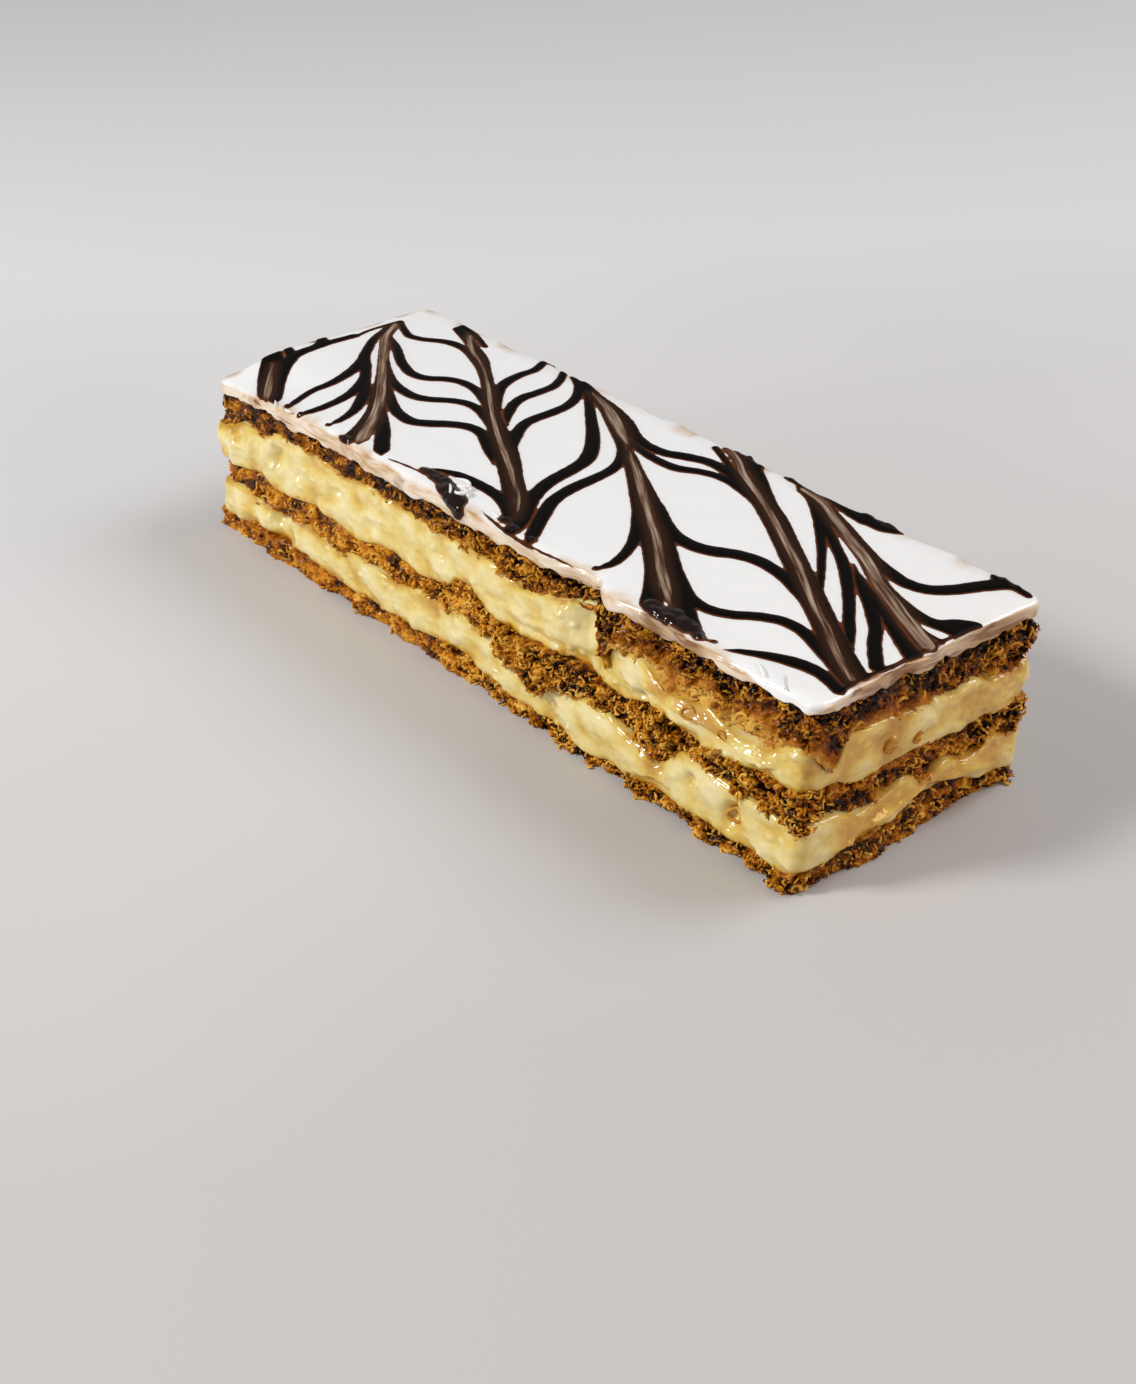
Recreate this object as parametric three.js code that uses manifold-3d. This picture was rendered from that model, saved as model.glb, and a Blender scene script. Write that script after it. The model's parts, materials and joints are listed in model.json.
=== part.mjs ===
// A slice of mille feuille: three layers of baked puff pastry, two layers of
// custard cream between them, and white icing feathered with chocolate on top.
// Millimetres, +Z up. X runs along the slice, -Y is the long cut face and the
// underside lies at Z = 0.

import * as THREE from "three";
import Module from "manifold-3d";

// ---- Driving dimensions ------------------------------------------------

const LENGTH = 134; // cut length, along X
const WIDTH = 41.6; // cut width, along Y
const ICING_TOP = 27.4; // height of the flat top of the icing
const LEAN = 1.6; // how far the top has slid back, towards +Y
const CORNER_RADIUS = 1.6; // of the knife-cut corners, seen from above
const LAYER_GAP = 0.4; // clear space between one layer and the next
const SHOULDER = 2.8; // width of the uneven rim round each layer's flat inside
const COLUMNS = 104; // columns of points round the cut faces
const FEATHER_RELIEF = 0.35; // how far the chocolate stands above the icing
const FEATHER_DEPTH = 0.6; // how far it is sunk into the icing
const FEATHER_INSET = 0.3; // how far it keeps from the icing's edge
const STRAND_STEPS = 11; // pieces in one strand of chocolate

const HALF_LENGTH = LENGTH / 2;
const HALF_WIDTH = WIDTH / 2;

// ---- Numbers that only look random -------------------------------------

function seededRandom(seed) {
  let state = seed;
  return () => {
    state = (state + 0x6d2b79f5) | 0;
    let mixed = Math.imul(state ^ (state >>> 15), 1 | state);
    mixed = (mixed + Math.imul(mixed ^ (mixed >>> 7), 61 | mixed)) ^ mixed;
    return ((mixed ^ (mixed >>> 14)) >>> 0) / 4294967296;
  };
}

// ---- The way round the slice -------------------------------------------

// The outline starts at the left end of the front face and turns
// anticlockwise: front, right end, back, left end.
const STRAIGHT_X = LENGTH - 2 * CORNER_RADIUS;
const STRAIGHT_Y = WIDTH - 2 * CORNER_RADIUS;
const BEND = (Math.PI / 2) * CORNER_RADIUS;
const ROUND = 2 * (STRAIGHT_X + STRAIGHT_Y) + 4 * BEND;

function sliceOutline() {
  const x = STRAIGHT_X / 2;
  const y = STRAIGHT_Y / 2;
  const quarter = Math.PI / 2;
  const outline = new THREE.Shape();
  outline.moveTo(-x, -HALF_WIDTH);
  outline.lineTo(x, -HALF_WIDTH);
  outline.absarc(x, -y, CORNER_RADIUS, -quarter, 0);
  outline.lineTo(HALF_LENGTH, y);
  outline.absarc(x, y, CORNER_RADIUS, 0, quarter);
  outline.lineTo(-x, HALF_WIDTH);
  outline.absarc(-x, y, CORNER_RADIUS, quarter, 2 * quarter);
  outline.lineTo(-HALF_LENGTH, -y);
  outline.absarc(-x, -y, CORNER_RADIUS, 2 * quarter, 3 * quarter);
  return outline;
}

// Distance round the outline of a place on one face: x on the front and the
// back, y on the two ends.
function wayRound(face, at) {
  const starts = {
    front: STRAIGHT_X / 2 + at,
    right: STRAIGHT_X + BEND + STRAIGHT_Y / 2 + at,
    back: STRAIGHT_X + STRAIGHT_Y + 2 * BEND + STRAIGHT_X / 2 - at,
    left: 2 * STRAIGHT_X + STRAIGHT_Y + 3 * BEND + STRAIGHT_Y / 2 - at,
  };
  return starts[face];
}

// The shoulder ring runs one rim inside the outline. Near a corner its points
// close up along the wall, so that they never meet.
function drawnIn(value, half) {
  const turn = half - 2 * SHOULDER;
  const past = Math.abs(value) - turn;
  return past > 0 ? Math.sign(value) * (turn + past / 2) : value;
}

function makeColumns() {
  const points = sliceOutline().getSpacedPoints(COLUMNS).slice(0, COLUMNS);
  return points.map((point, i) => {
    const before = points[(i + COLUMNS - 1) % COLUMNS];
    const after = points[(i + 1) % COLUMNS];
    const along = after.clone().sub(before).normalize();
    const outward = new THREE.Vector2(along.y, -along.x);
    const shoulder = new THREE.Vector2(
      drawnIn(point.x, HALF_LENGTH),
      drawnIn(point.y, HALF_WIDTH),
    );
    return { point, outward, shoulder, way: (i / COLUMNS) * ROUND };
  });
}

const columns = makeColumns();

// ---- Uneven lines and faces --------------------------------------------

const RIPPLES = [9, 16, 27, 41]; // whole waves that fit round the slice

// A line round the slice: a level, a wave that closes on itself, and features
// [face, at, rise, half width], each a smooth bump (or a sag, if negative).
function unevenLine({ level, wave, seed, features }) {
  const random = seededRandom(seed);
  const ripples = RIPPLES.map((turns) => ({
    turns,
    phase: random() * 2 * Math.PI,
    size: wave * (0.5 + random()) * Math.sqrt(RIPPLES[0] / turns),
  }));
  return (way) => {
    const angle = (way / ROUND) * 2 * Math.PI;
    let height = level;
    for (const { turns, phase, size } of ripples) {
      height += size * Math.sin(turns * angle + phase);
    }
    for (const [face, at, rise, halfWidth] of features) {
      let away = Math.abs(way - wayRound(face, at));
      away = Math.min(away, ROUND - away);
      height += rise * Math.exp(-((away / halfWidth) ** 2));
    }
    return height;
  };
}

// Heights of the five lines where one layer meets the next.
const CREAM_LOWER_BASE = unevenLine({
  level: 3.6,
  wave: 0.25,
  seed: 3,
  features: [
    ["front", -52, 0.8, 6],
    ["front", 0, 1.2, 4],
    ["front", 26, -1.2, 6],
    ["front", 54, -0.9, 8],
    ["right", 3, 2.4, 6],
    ["back", 20, 1.2, 9],
    ["back", -38, -0.9, 7],
  ],
});
const CREAM_LOWER_TOP = unevenLine({
  level: 9.1,
  wave: 0.3,
  seed: 8,
  features: [
    ["front", -36, -1.4, 3],
    ["front", 0, 1.0, 7],
    ["front", 13.5, -3.2, 4.5],
    ["front", 40, -1.6, 3],
    ["front", 49, 1.6, 5],
    ["right", -10, -1.2, 4],
    ["right", 2, -1.0, 3],
    ["back", 30, -1.6, 6],
    ["back", -8, 1.1, 8],
    ["left", 4, -1.0, 5],
  ],
});
const CREAM_UPPER_BASE = unevenLine({
  level: 14.2,
  wave: 0.3,
  seed: 15,
  features: [
    ["front", -31, -1.4, 4],
    ["front", -1, 2.4, 4],
    ["front", 42, 1.8, 5],
    ["front", 60, 1.0, 5],
    ["right", 14, -0.9, 5],
    ["back", 44, -1.2, 6],
    ["back", -22, 1.4, 8],
    ["left", -6, -0.8, 5],
  ],
});
const CREAM_UPPER_TOP = unevenLine({
  level: 22,
  wave: 0.3,
  seed: 21,
  features: [
    ["front", -64, -1.8, 8],
    ["front", -42, 1.2, 6],
    ["front", 24.5, 2.4, 3],
    ["front", 34, -1.6, 5],
    ["front", 44, -2.6, 5],
    ["front", 54, -3.2, 7],
    ["right", 0, -1.8, 7],
    ["right", 13, -2.2, 7],
    ["back", 30, -2.2, 12],
    ["back", -12, 0.8, 8],
    ["back", -48, -1.6, 9],
    ["left", 6, -1.6, 6],
  ],
});
const ICING_BASE = unevenLine({
  level: 25.3,
  wave: 0.08,
  seed: 34,
  features: [
    ["front", -62, -0.5, 7],
    ["front", 26, 0.5, 4],
    ["front", 58, 0.5, 8],
    ["right", 0, -0.4, 8],
    ["back", 10, 0.3, 12],
  ],
});
const UNDERSIDE = () => 0;
const FLAT_TOP = () => ICING_TOP;

// How far the faces stand out from the nominal cut, apart from the relief.
// The piece right of the notch in the front face stands proud of the rest.
const TOP_SET_OUT = unevenLine({
  level: 0,
  wave: 0.15,
  seed: 40,
  features: [
    ["front", -67, -1.6, 7],
    ["front", 24, -1.5, 3.4],
    ["front", 31, 0.8, 3.5],
    ["front", 48, 0.3, 9],
    ["left", 8, -1.4, 12],
    ["back", 52, 0.9, 9],
    ["back", -4, 0.6, 12],
  ],
});
const MIDDLE_SET_OUT = unevenLine({
  level: -0.3,
  wave: 0.2,
  seed: 45,
  features: [
    ["front", 12, 1.0, 8],
    ["front", 41, 0.8, 6],
    ["left", 0, -1.6, 14],
    ["right", 16, 0.6, 6],
    ["back", 20, 0.8, 12],
  ],
});
const BOTTOM_SET_OUT = unevenLine({
  level: -0.1,
  wave: 0.2,
  seed: 52,
  features: [
    ["front", -50, 0.5, 8],
    ["right", 16, -0.8, 6],
    ["left", 0, 0.6, 14],
    ["back", -30, 0.5, 14],
  ],
});
const CREAM_UPPER_SET_OUT = unevenLine({
  level: 0.1,
  wave: 0.15,
  seed: 60,
  features: [
    ["front", -49, -0.6, 3],
    ["front", 25, -1.4, 3.5],
    ["front", 45, 0.5, 9],
    ["left", 4, 0.4, 10],
    ["right", 14, 0.6, 7],
  ],
});
const CREAM_LOWER_SET_OUT = unevenLine({
  level: -0.1,
  wave: 0.15,
  seed: 66,
  features: [
    ["front", -49, -1.3, 3],
    ["front", -24, 0.4, 6],
    ["front", 30, 0.4, 10],
    ["left", 0, -1.2, 12],
    ["right", -8, 0.7, 9],
    ["right", 14, 0.9, 6],
  ],
});

// ---- Relief of the cut faces -------------------------------------------

// Baked leaves of dough break off at random, so every row of points stands
// out by its own amount and every second row is a ledge.
const LEDGE_SHARE = 0.4;

function flakyRelief(seed, depth) {
  const random = seededRandom(seed);
  return (row) => {
    const ledge = row % 2 === 0 ? LEDGE_SHARE : -LEDGE_SHARE;
    return depth * (ledge + random() - 0.5);
  };
}

// Cream swells out between the leaves that press on it.
function creamyRelief(bulge, sunk) {
  return (row, share) => bulge * Math.sin(Math.PI * share) - sunk;
}

// Icing sets with a rounded upper edge: how far out each of its rows stands.
const ICING_EDGE = [0.3, 0.7, -0.6];

// ---- One layer of the slice --------------------------------------------

// Where the rows of points lie between a layer's underside (0) and its top (1).
const PASTRY_ROWS = [0, 0.14, 0.3, 0.44, 0.6, 0.74, 0.88, 1];
const THIN_PASTRY_ROWS = [0, 0.25, 0.5, 0.75, 1];
const CREAM_ROWS = [0, 0.18, 0.5, 0.82, 1];
const ICING_ROWS = [0, 0.55, 1];

// A closed solid between two lines. Its upper and lower sides are cut into the
// same triangles as its neighbours', so the gap between layers stays even.
function layerGeometry({ under, over, setOut, rows, relief }) {
  const lowGap = under === UNDERSIDE ? 0 : LAYER_GAP / 2;
  const highGap = over === FLAT_TOP ? 0 : LAYER_GAP / 2;
  const low = columns.map(({ way }) => under(way) + lowGap);
  const high = columns.map(({ way }) => over(way) - highGap);
  const shoulders = columns.map(({ shoulder }) => shoulder);
  const positions = [];
  shoulders.forEach(({ x, y }, i) => positions.push(x, y, low[i]));
  rows.forEach((share, row) => {
    columns.forEach((column, i) => {
      const out = setOut(column.way) + relief(row, share);
      const { x, y } = column.point.clone().addScaledVector(column.outward, out);
      positions.push(x, y, low[i] + (high[i] - low[i]) * share);
    });
  });
  shoulders.forEach(({ x, y }, i) => positions.push(x, y, high[i]));

  const rings = rows.length + 2;
  const faces = [];
  for (let ring = 0; ring + 1 < rings; ring += 1) {
    for (let i = 0; i < COLUMNS; i += 1) {
      const here = ring * COLUMNS + i;
      const next = ring * COLUMNS + ((i + 1) % COLUMNS);
      faces.push(here, next, next + COLUMNS);
      faces.push(here, next + COLUMNS, here + COLUMNS);
    }
  }
  const lid = (rings - 1) * COLUMNS;
  for (const [a, b, c] of THREE.ShapeUtils.triangulateShape(shoulders, [])) {
    faces.push(a, c, b);
    faces.push(lid + a, lid + b, lid + c);
  }
  const geometry = new THREE.BufferGeometry();
  geometry.setAttribute("position", new THREE.Float32BufferAttribute(positions, 3));
  geometry.setIndex(faces);
  return geometry;
}

// ---- Chocolate feathering ----------------------------------------------

// Each strand is a smooth curve through a few places [x, y] on the finished
// top, as broad as [at its start, halfway, at its end]. Spines are where the
// knife was drawn through the piped lines, one way and then the other; strands
// are the piped lines, which it pulled out of true from spine to spine.
const SPINES = [
  { width: [4, 5.5, 5], through: [[-66, -8.8], [-59, -14], [-53, -18.8]] },
  { width: [2, 5, 8], through: [[-63, 13.2], [-54.5, 5], [-45, -2.2], [-36, -9.6], [-28.3, -17.8]] },
  { width: [2.5, 4, 5.5], through: [[-55, 21.5], [-40, 13.2], [-21, 2], [-8, -7], [7, -18.5]] },
  { width: [1.6, 4.2, 8.5], through: [[-24, 22], [-12, 16.8], [4, 7.8], [18, -1.2], [40.3, -18]] },
  { width: [5, 4, 5.2], through: [[8.5, 22.3], [20, 16], [38, 5.4], [52, -3.2], [66.3, -13]] },
  { width: [2.5, 3.8, 4.5], through: [[23, 22.8], [34, 18.2], [46, 11.7], [58, 5], [66.3, 1.5]] },
];
const STRANDS = [
  { width: [1.6, 1.4, 1], through: [[-54.5, 21.3], [-50, 20.8], [-45.5, 19]] },
  { width: [1, 1.8, 1.4], through: [[-63, 14.2], [-56.5, 12.2], [-49.8, 15.7], [-44.5, 14.9], [-36.5, 10.6]] },
  { width: [1.2, 2, 1.6], through: [[-59.5, 9.5], [-50.5, 4.7], [-43.8, 3], [-36.3, 7.3], [-22.5, 2]] },
  { width: [1.2, 2.3, 1.6], through: [[-52.5, 4], [-44.5, -0.5], [-37.6, -2], [-30, 2.5], [-16.5, -1.6]] },
  { width: [1.4, 2.4, 1.6], through: [[-46.5, -1.6], [-37.5, -6.6], [-30.2, -8], [-23, -2.4], [-8.5, -6.8]] },
  { width: [1.4, 2.4, 2.6], through: [[-64, 14.2], [-63.9, 2], [-63.3, -4.5], [-60.5, -9.5], [-52, -17.5]] },
  { width: [1.8, 2.2, 1.6], through: [[-57.5, 4], [-52.5, -2], [-50.1, -10], [-47.6, -18.7]] },
  { width: [1.6, 2.2, 1.4], through: [[-51, -1.2], [-45.6, -7], [-43.5, -13.5], [-43.6, -19.4]] },
  { width: [1.6, 2, 1.2], through: [[-46.5, -4.2], [-40.2, -10.5], [-36.8, -18.3]] },
  { width: [1.4, 1.8, 1.2], through: [[-35, 22.5], [-33.3, 15.5], [-30.5, 10], [-24, 5]] },
  { width: [1.4, 1.9, 1.4], through: [[-30, 22.5], [-26.6, 15.5], [-25.4, 9], [-20, 2.8]] },
  { width: [1.4, 2.1, 1.6], through: [[-27.5, 22], [-21.5, 18], [-18.8, 10.5], [-17.6, 4], [-11, -2.5]] },
  { width: [1.6, 2, 1.4], through: [[-15, -15.8], [-10, -13.4], [-4, -13.2], [4, -16.5]] },
  { width: [1.8, 2.8, 3.2], through: [[-13, 14.8], [-4.5, 7.5], [-1, 0], [2.5, -8.5], [9, -18.8]] },
  { width: [1.6, 2.4, 3], through: [[-6, 11.5], [1.5, 5.2], [4, -2.5], [7.2, -11], [12.8, -18.6]] },
  { width: [1.6, 2, 1.4], through: [[12, 2.5], [19.4, -4.6], [24.1, -11], [25, -16.8]] },
  { width: [1.6, 2.5, 1.8], through: [[-13, 18], [-3, 14.8], [3, 14.5], [10, 17.3], [24, 12.8]] },
  { width: [1.6, 2.1, 1.4], through: [[-8, 14], [1, 12.2], [7.5, 11.8], [14.3, 14.7], [28, 10.5]] },
  { width: [1.6, 2.8, 1.8], through: [[11, 5.4], [20.5, -0.6], [27.8, -3], [35, 1.4], [50, -2.6]] },
  { width: [1.6, 2.4, 1.8], through: [[28, -6.7], [36, -11.4], [41.8, -12.8], [49, -7.9], [64, -11.4]] },
  { width: [1, 2.6, 2], through: [[50, -18.3], [54, -16.8], [58, -13.8], [62, -13.2], [66.3, -14.3]] },
  { width: [1.4, 1.8, 1.4], through: [[26, 21], [33.5, 15.5], [40.6, 8], [48.6, 0.5]] },
  { width: [1.6, 2.2, 1.8], through: [[36, 16.5], [44, 10.8], [50, 5], [55, -2], [60, -7.5]] },
  { width: [1.6, 2.2, 2], through: [[45, 11.5], [53, 5.8], [58, 0.3], [62, -5], [66, -9.5]] },
  { width: [1.6, 2.2, 2.2], through: [[54, 6], [60, 1.5], [66.3, -2]] },
  { width: [1.6, 2.4, 3], through: [[34.5, 18.8], [44, 14.2], [51, 12.1], [56.3, 12.8], [62, 22.3]] },
  { width: [1.4, 2, 4.2], through: [[49, 11], [56, 7.6], [61.8, 6.4], [66.5, 8.6]] },
  { width: [1.2, 2.4, 1.4], through: [[35.5, 21], [39, 20.6], [43.5, 21.5]] },
];

function broadnessAt([start, halfway, end], share) {
  const halves = share < 0.5 ? [start, halfway, share * 2] : [halfway, end, share * 2 - 1];
  return THREE.MathUtils.lerp(...halves);
}

function strandShape({ width, through }) {
  const curve = new THREE.SplineCurve(
    through.map(([x, y]) => new THREE.Vector2(x, y - LEAN)),
  );
  const left = [];
  const right = [];
  for (let step = 0; step <= STRAND_STEPS; step += 1) {
    const share = step / STRAND_STEPS;
    const middle = curve.getPointAt(share);
    const along = curve.getTangentAt(share);
    const across = new THREE.Vector2(-along.y, along.x);
    const half = broadnessAt(width, share) / 2;
    left.push(middle.clone().addScaledVector(across, half));
    right.unshift(middle.clone().addScaledVector(across, -half));
  }
  return new THREE.Shape([...right, ...left].reverse());
}

// The part of the icing's flat top that chocolate may cover.
function featherField() {
  const ring = columns.map(({ point, outward, way }) => {
    const out = TOP_SET_OUT(way) + ICING_EDGE.at(-1) - FEATHER_INSET;
    return point.clone().addScaledVector(outward, out);
  });
  return new THREE.Shape(ring);
}

function extrude(shape, from, height) {
  const geometry = new THREE.ExtrudeGeometry(shape, {
    depth: height,
    bevelEnabled: false,
    curveSegments: 1,
  });
  return geometry.translate(0, 0, from);
}

const wasm = await Module();
wasm.setup();

// Corners that lie in the same place become one, which a solid needs.
function toSolid(geometry) {
  const position = geometry.getAttribute("position");
  const index = geometry.index ? [...geometry.index.array] : [...Array(position.count).keys()];
  const places = new Map();
  const vertProperties = [];
  const merged = index.map((corner) => {
    const place = [position.getX(corner), position.getY(corner), position.getZ(corner)];
    const name = place.map((value) => value.toFixed(5)).join();
    if (!places.has(name)) {
      places.set(name, places.size);
      vertProperties.push(...place);
    }
    return places.get(name);
  });
  const mesh = new wasm.Mesh({
    numProp: 3,
    vertProperties: new Float32Array(vertProperties),
    triVerts: new Uint32Array(merged),
  });
  return new wasm.Manifold(mesh);
}

function toGeometry(solid) {
  const { vertProperties, triVerts } = solid.getMesh();
  const geometry = new THREE.BufferGeometry();
  geometry.setAttribute("position", new THREE.Float32BufferAttribute(vertProperties, 3));
  geometry.setIndex([...triVerts]);
  return geometry;
}

function icingGeometry() {
  const slab = toSolid(
    layerGeometry({
      under: ICING_BASE,
      over: FLAT_TOP,
      setOut: TOP_SET_OUT,
      rows: ICING_ROWS,
      relief: (row) => ICING_EDGE[row],
    }),
  );
  const from = ICING_TOP - FEATHER_DEPTH;
  const height = FEATHER_DEPTH + FEATHER_RELIEF;
  const field = toSolid(extrude(featherField(), 0, ICING_TOP + height));
  const feathers = [...SPINES, ...STRANDS]
    .map((strand) => toSolid(extrude(strandShape(strand), from, height)))
    .reduce((all, strand) => all.add(strand));
  return toGeometry(slab.add(feathers.intersect(field)));
}

// ---- The slice ---------------------------------------------------------

const pastry = (color) =>
  new THREE.MeshStandardMaterial({ color, roughness: 0.6, metalness: 0 });
const cream = new THREE.MeshStandardMaterial({ color: "#ecdc98", roughness: 0.35 });
const fondant = new THREE.MeshStandardMaterial({ color: "#f2f1ee", roughness: 0.2 });

const LAYERS = [
  {
    name: "pastry_bottom",
    material: pastry("#b0711f"),
    geometry: layerGeometry({
      under: UNDERSIDE,
      over: CREAM_LOWER_BASE,
      setOut: BOTTOM_SET_OUT,
      rows: THIN_PASTRY_ROWS,
      relief: flakyRelief(101, 1.0),
    }),
  },
  {
    name: "cream_lower",
    material: cream,
    geometry: layerGeometry({
      under: CREAM_LOWER_BASE,
      over: CREAM_LOWER_TOP,
      setOut: CREAM_LOWER_SET_OUT,
      rows: CREAM_ROWS,
      relief: creamyRelief(0.9, 0.3),
    }),
  },
  {
    name: "pastry_middle",
    material: pastry("#b0711f"),
    geometry: layerGeometry({
      under: CREAM_LOWER_TOP,
      over: CREAM_UPPER_BASE,
      setOut: MIDDLE_SET_OUT,
      rows: PASTRY_ROWS,
      relief: flakyRelief(202, 1.3),
    }),
  },
  {
    name: "cream_upper",
    material: cream,
    geometry: layerGeometry({
      under: CREAM_UPPER_BASE,
      over: CREAM_UPPER_TOP,
      setOut: CREAM_UPPER_SET_OUT,
      rows: CREAM_ROWS,
      relief: creamyRelief(1.1, 0.3),
    }),
  },
  {
    name: "pastry_top",
    material: pastry("#8a4f16"),
    geometry: layerGeometry({
      under: CREAM_UPPER_TOP,
      over: ICING_BASE,
      setOut: TOP_SET_OUT,
      rows: PASTRY_ROWS,
      relief: flakyRelief(303, 1.2),
    }),
  },
  { name: "icing", material: fondant, geometry: icingGeometry() },
];

// The layers slide back as they rise, and the whole is centred on its box.
const slice = new THREE.Group();
for (const { name, material, geometry } of LAYERS) {
  const slide = new THREE.Matrix4().makeShear(0, 0, 0, 0, 0, LEAN / ICING_TOP);
  geometry.applyMatrix4(slide);
  geometry.computeVertexNormals();
  const mesh = new THREE.Mesh(geometry, material);
  mesh.name = name;
  slice.add(mesh);
}
const middle = new THREE.Box3().setFromObject(slice).getCenter(new THREE.Vector3());
for (const mesh of slice.children) {
  mesh.geometry.translate(-middle.x, -middle.y, 0);
}

export default slice;
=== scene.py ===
# %% [markdown]
# # A slice of mille feuille
# Three crisp layers of puff pastry hold two layers of custard cream, and white
# icing feathered with chocolate covers the top. A knife has cut all four sides,
# so every layer shows there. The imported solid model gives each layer's place,
# and this lesson builds the same layers again with crumb, gloss and colour.

# %% The solid model
import json
import math

import bpy
import numpy as np
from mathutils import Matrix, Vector, geometry, noise
from mathutils.bvhtree import BVHTree

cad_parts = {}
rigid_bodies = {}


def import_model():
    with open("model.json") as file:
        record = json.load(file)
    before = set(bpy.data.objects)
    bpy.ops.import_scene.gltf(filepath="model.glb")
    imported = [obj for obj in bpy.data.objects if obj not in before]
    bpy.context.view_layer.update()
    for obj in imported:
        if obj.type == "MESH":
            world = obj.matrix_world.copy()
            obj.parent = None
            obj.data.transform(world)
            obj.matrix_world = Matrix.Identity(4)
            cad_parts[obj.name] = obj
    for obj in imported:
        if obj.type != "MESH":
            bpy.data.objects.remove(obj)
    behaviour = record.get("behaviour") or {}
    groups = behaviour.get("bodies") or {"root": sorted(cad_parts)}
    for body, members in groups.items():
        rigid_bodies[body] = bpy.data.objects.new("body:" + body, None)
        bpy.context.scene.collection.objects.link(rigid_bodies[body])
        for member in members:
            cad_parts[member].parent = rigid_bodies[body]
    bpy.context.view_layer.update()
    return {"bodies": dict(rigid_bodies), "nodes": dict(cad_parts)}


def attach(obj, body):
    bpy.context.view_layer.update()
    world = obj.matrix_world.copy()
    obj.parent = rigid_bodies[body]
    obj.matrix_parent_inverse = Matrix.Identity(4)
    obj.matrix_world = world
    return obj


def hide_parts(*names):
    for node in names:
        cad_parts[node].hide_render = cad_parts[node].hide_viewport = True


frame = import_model()
BODY = next(iter(frame["bodies"]))
MM = 0.001
print("layers:", ", ".join(frame["nodes"]))

# %% [markdown]
# ## The camera
# The camera comes first, because every later choice is judged through it. It
# stands in front of the right end and looks down on the slice. A lens a little
# longer than a normal one keeps the long side from flaring.

# %% Camera
CAMERA_PLACE = Vector((210.5, -178.0, 159.7)) * MM
CAMERA_AIM = Vector((11.2, -12.2, 0.0)) * MM
LENS = 54.6
SENSOR = 36  # along the picture's longer side


def in_scene(name, data):
    """A new object in the scene, made from that data."""
    made = bpy.data.objects.new(name, data)
    bpy.context.collection.objects.link(made)
    return made


camera_data = bpy.data.cameras.new("camera")
camera_data.lens = LENS
camera_data.sensor_width = SENSOR
camera_data.clip_start = 0.01
camera = in_scene("camera", camera_data)
camera.location = CAMERA_PLACE
camera.rotation_euler = (CAMERA_AIM - CAMERA_PLACE).to_track_quat("-Z", "Y").to_euler()
bpy.context.scene.camera = camera
print("camera stands", round((CAMERA_PLACE - CAMERA_AIM).length / MM), "mm away")

# %% [markdown]
# ## Nodes and colours
# Materials and Geometry Nodes are both trees of nodes. One helper adds a node
# to either kind: it sets the node's own options, then fills its sockets with
# values or with links. Colours are written as the eye sees them, in sRGB hex,
# and one function turns them to the linear light that the renderer adds up.

# %% Helpers for nodes and colours
MATH = "ShaderNodeMath"
VECTOR_MATH = "ShaderNodeVectorMath"
NOISE = "ShaderNodeTexNoise"
CELLS = "ShaderNodeTexVoronoi"
RAMP = "ShaderNodeValToRGB"
RANGE = "ShaderNodeMapRange"
MARK = "ShaderNodeAttribute"
MIX = "ShaderNodeMix"
OF_COLOURS = {"data_type": "RGBA"}
SOFT_STEP = {"interpolation_type": "SMOOTHSTEP"}


def linear(colour):
    """The linear RGBA of an sRGB colour such as "#f2f1ef"."""
    values = [int(colour[i : i + 2], 16) / 255 for i in (1, 3, 5)]
    light = [v / 12.92 if v <= 0.04045 else ((v + 0.055) / 1.055) ** 2.4 for v in values]
    return (*light, 1.0)


def socket_of(sockets, key):
    """The shown socket of that name or number."""
    shown = [socket for socket in sockets if socket.enabled]
    if isinstance(key, int):
        return shown[key]
    return next(socket for socket in shown if socket.name == key)


def fill(tree, node, sockets):
    """Fills a node's sockets, by name or number, with values or with links."""
    for key, value in dict(sockets).items():
        socket = socket_of(node.inputs, key)
        if isinstance(value, bpy.types.Node):
            value = socket_of(value.outputs, 0)
        if isinstance(value, bpy.types.NodeSocket):
            tree.links.new(value, socket)
        else:
            socket.default_value = value


def add(tree, kind, options=(), sockets=()):
    """Adds a node with its options, and fills its sockets.

    Options are a mapping or the name of an operation, sockets are a mapping by
    name or a list from the first socket on, and a ramp's stops are its colours.
    """
    node = tree.nodes.new(kind)
    if isinstance(options, str):
        options = {"operation": options}
    if isinstance(sockets, list):
        sockets = dict(enumerate(sockets))
    for name, value in dict(options).items():
        if name != "stops":
            setattr(node, name, value)
            continue
        elements = node.color_ramp.elements
        while len(elements) < len(value):
            elements.new(0.5)
        for element, (position, colour) in zip(elements, value):
            element.position = position
            element.color = linear(colour)
    fill(tree, node, sockets)
    return node


def new_material(name, fixed):
    """A material with one Principled shader, whose uniform values are set on it."""
    made = bpy.data.materials.new(name)
    made.use_nodes = True
    tree = made.node_tree
    shader = tree.nodes["Principled BSDF"]
    for key, value in fixed.items():
        shader.inputs[key].default_value = value
    return made, tree, shader

# %% [markdown]
# ## The cut slice, seen from above
# The knife left a long rectangle with slightly blunt corners. Every layer is
# described by how far round that outline a place lies, because its four cut
# faces are one continuous wall. The sizes are those of the solid model, in
# millimetres. The layers also slide back a little as they rise.

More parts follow.
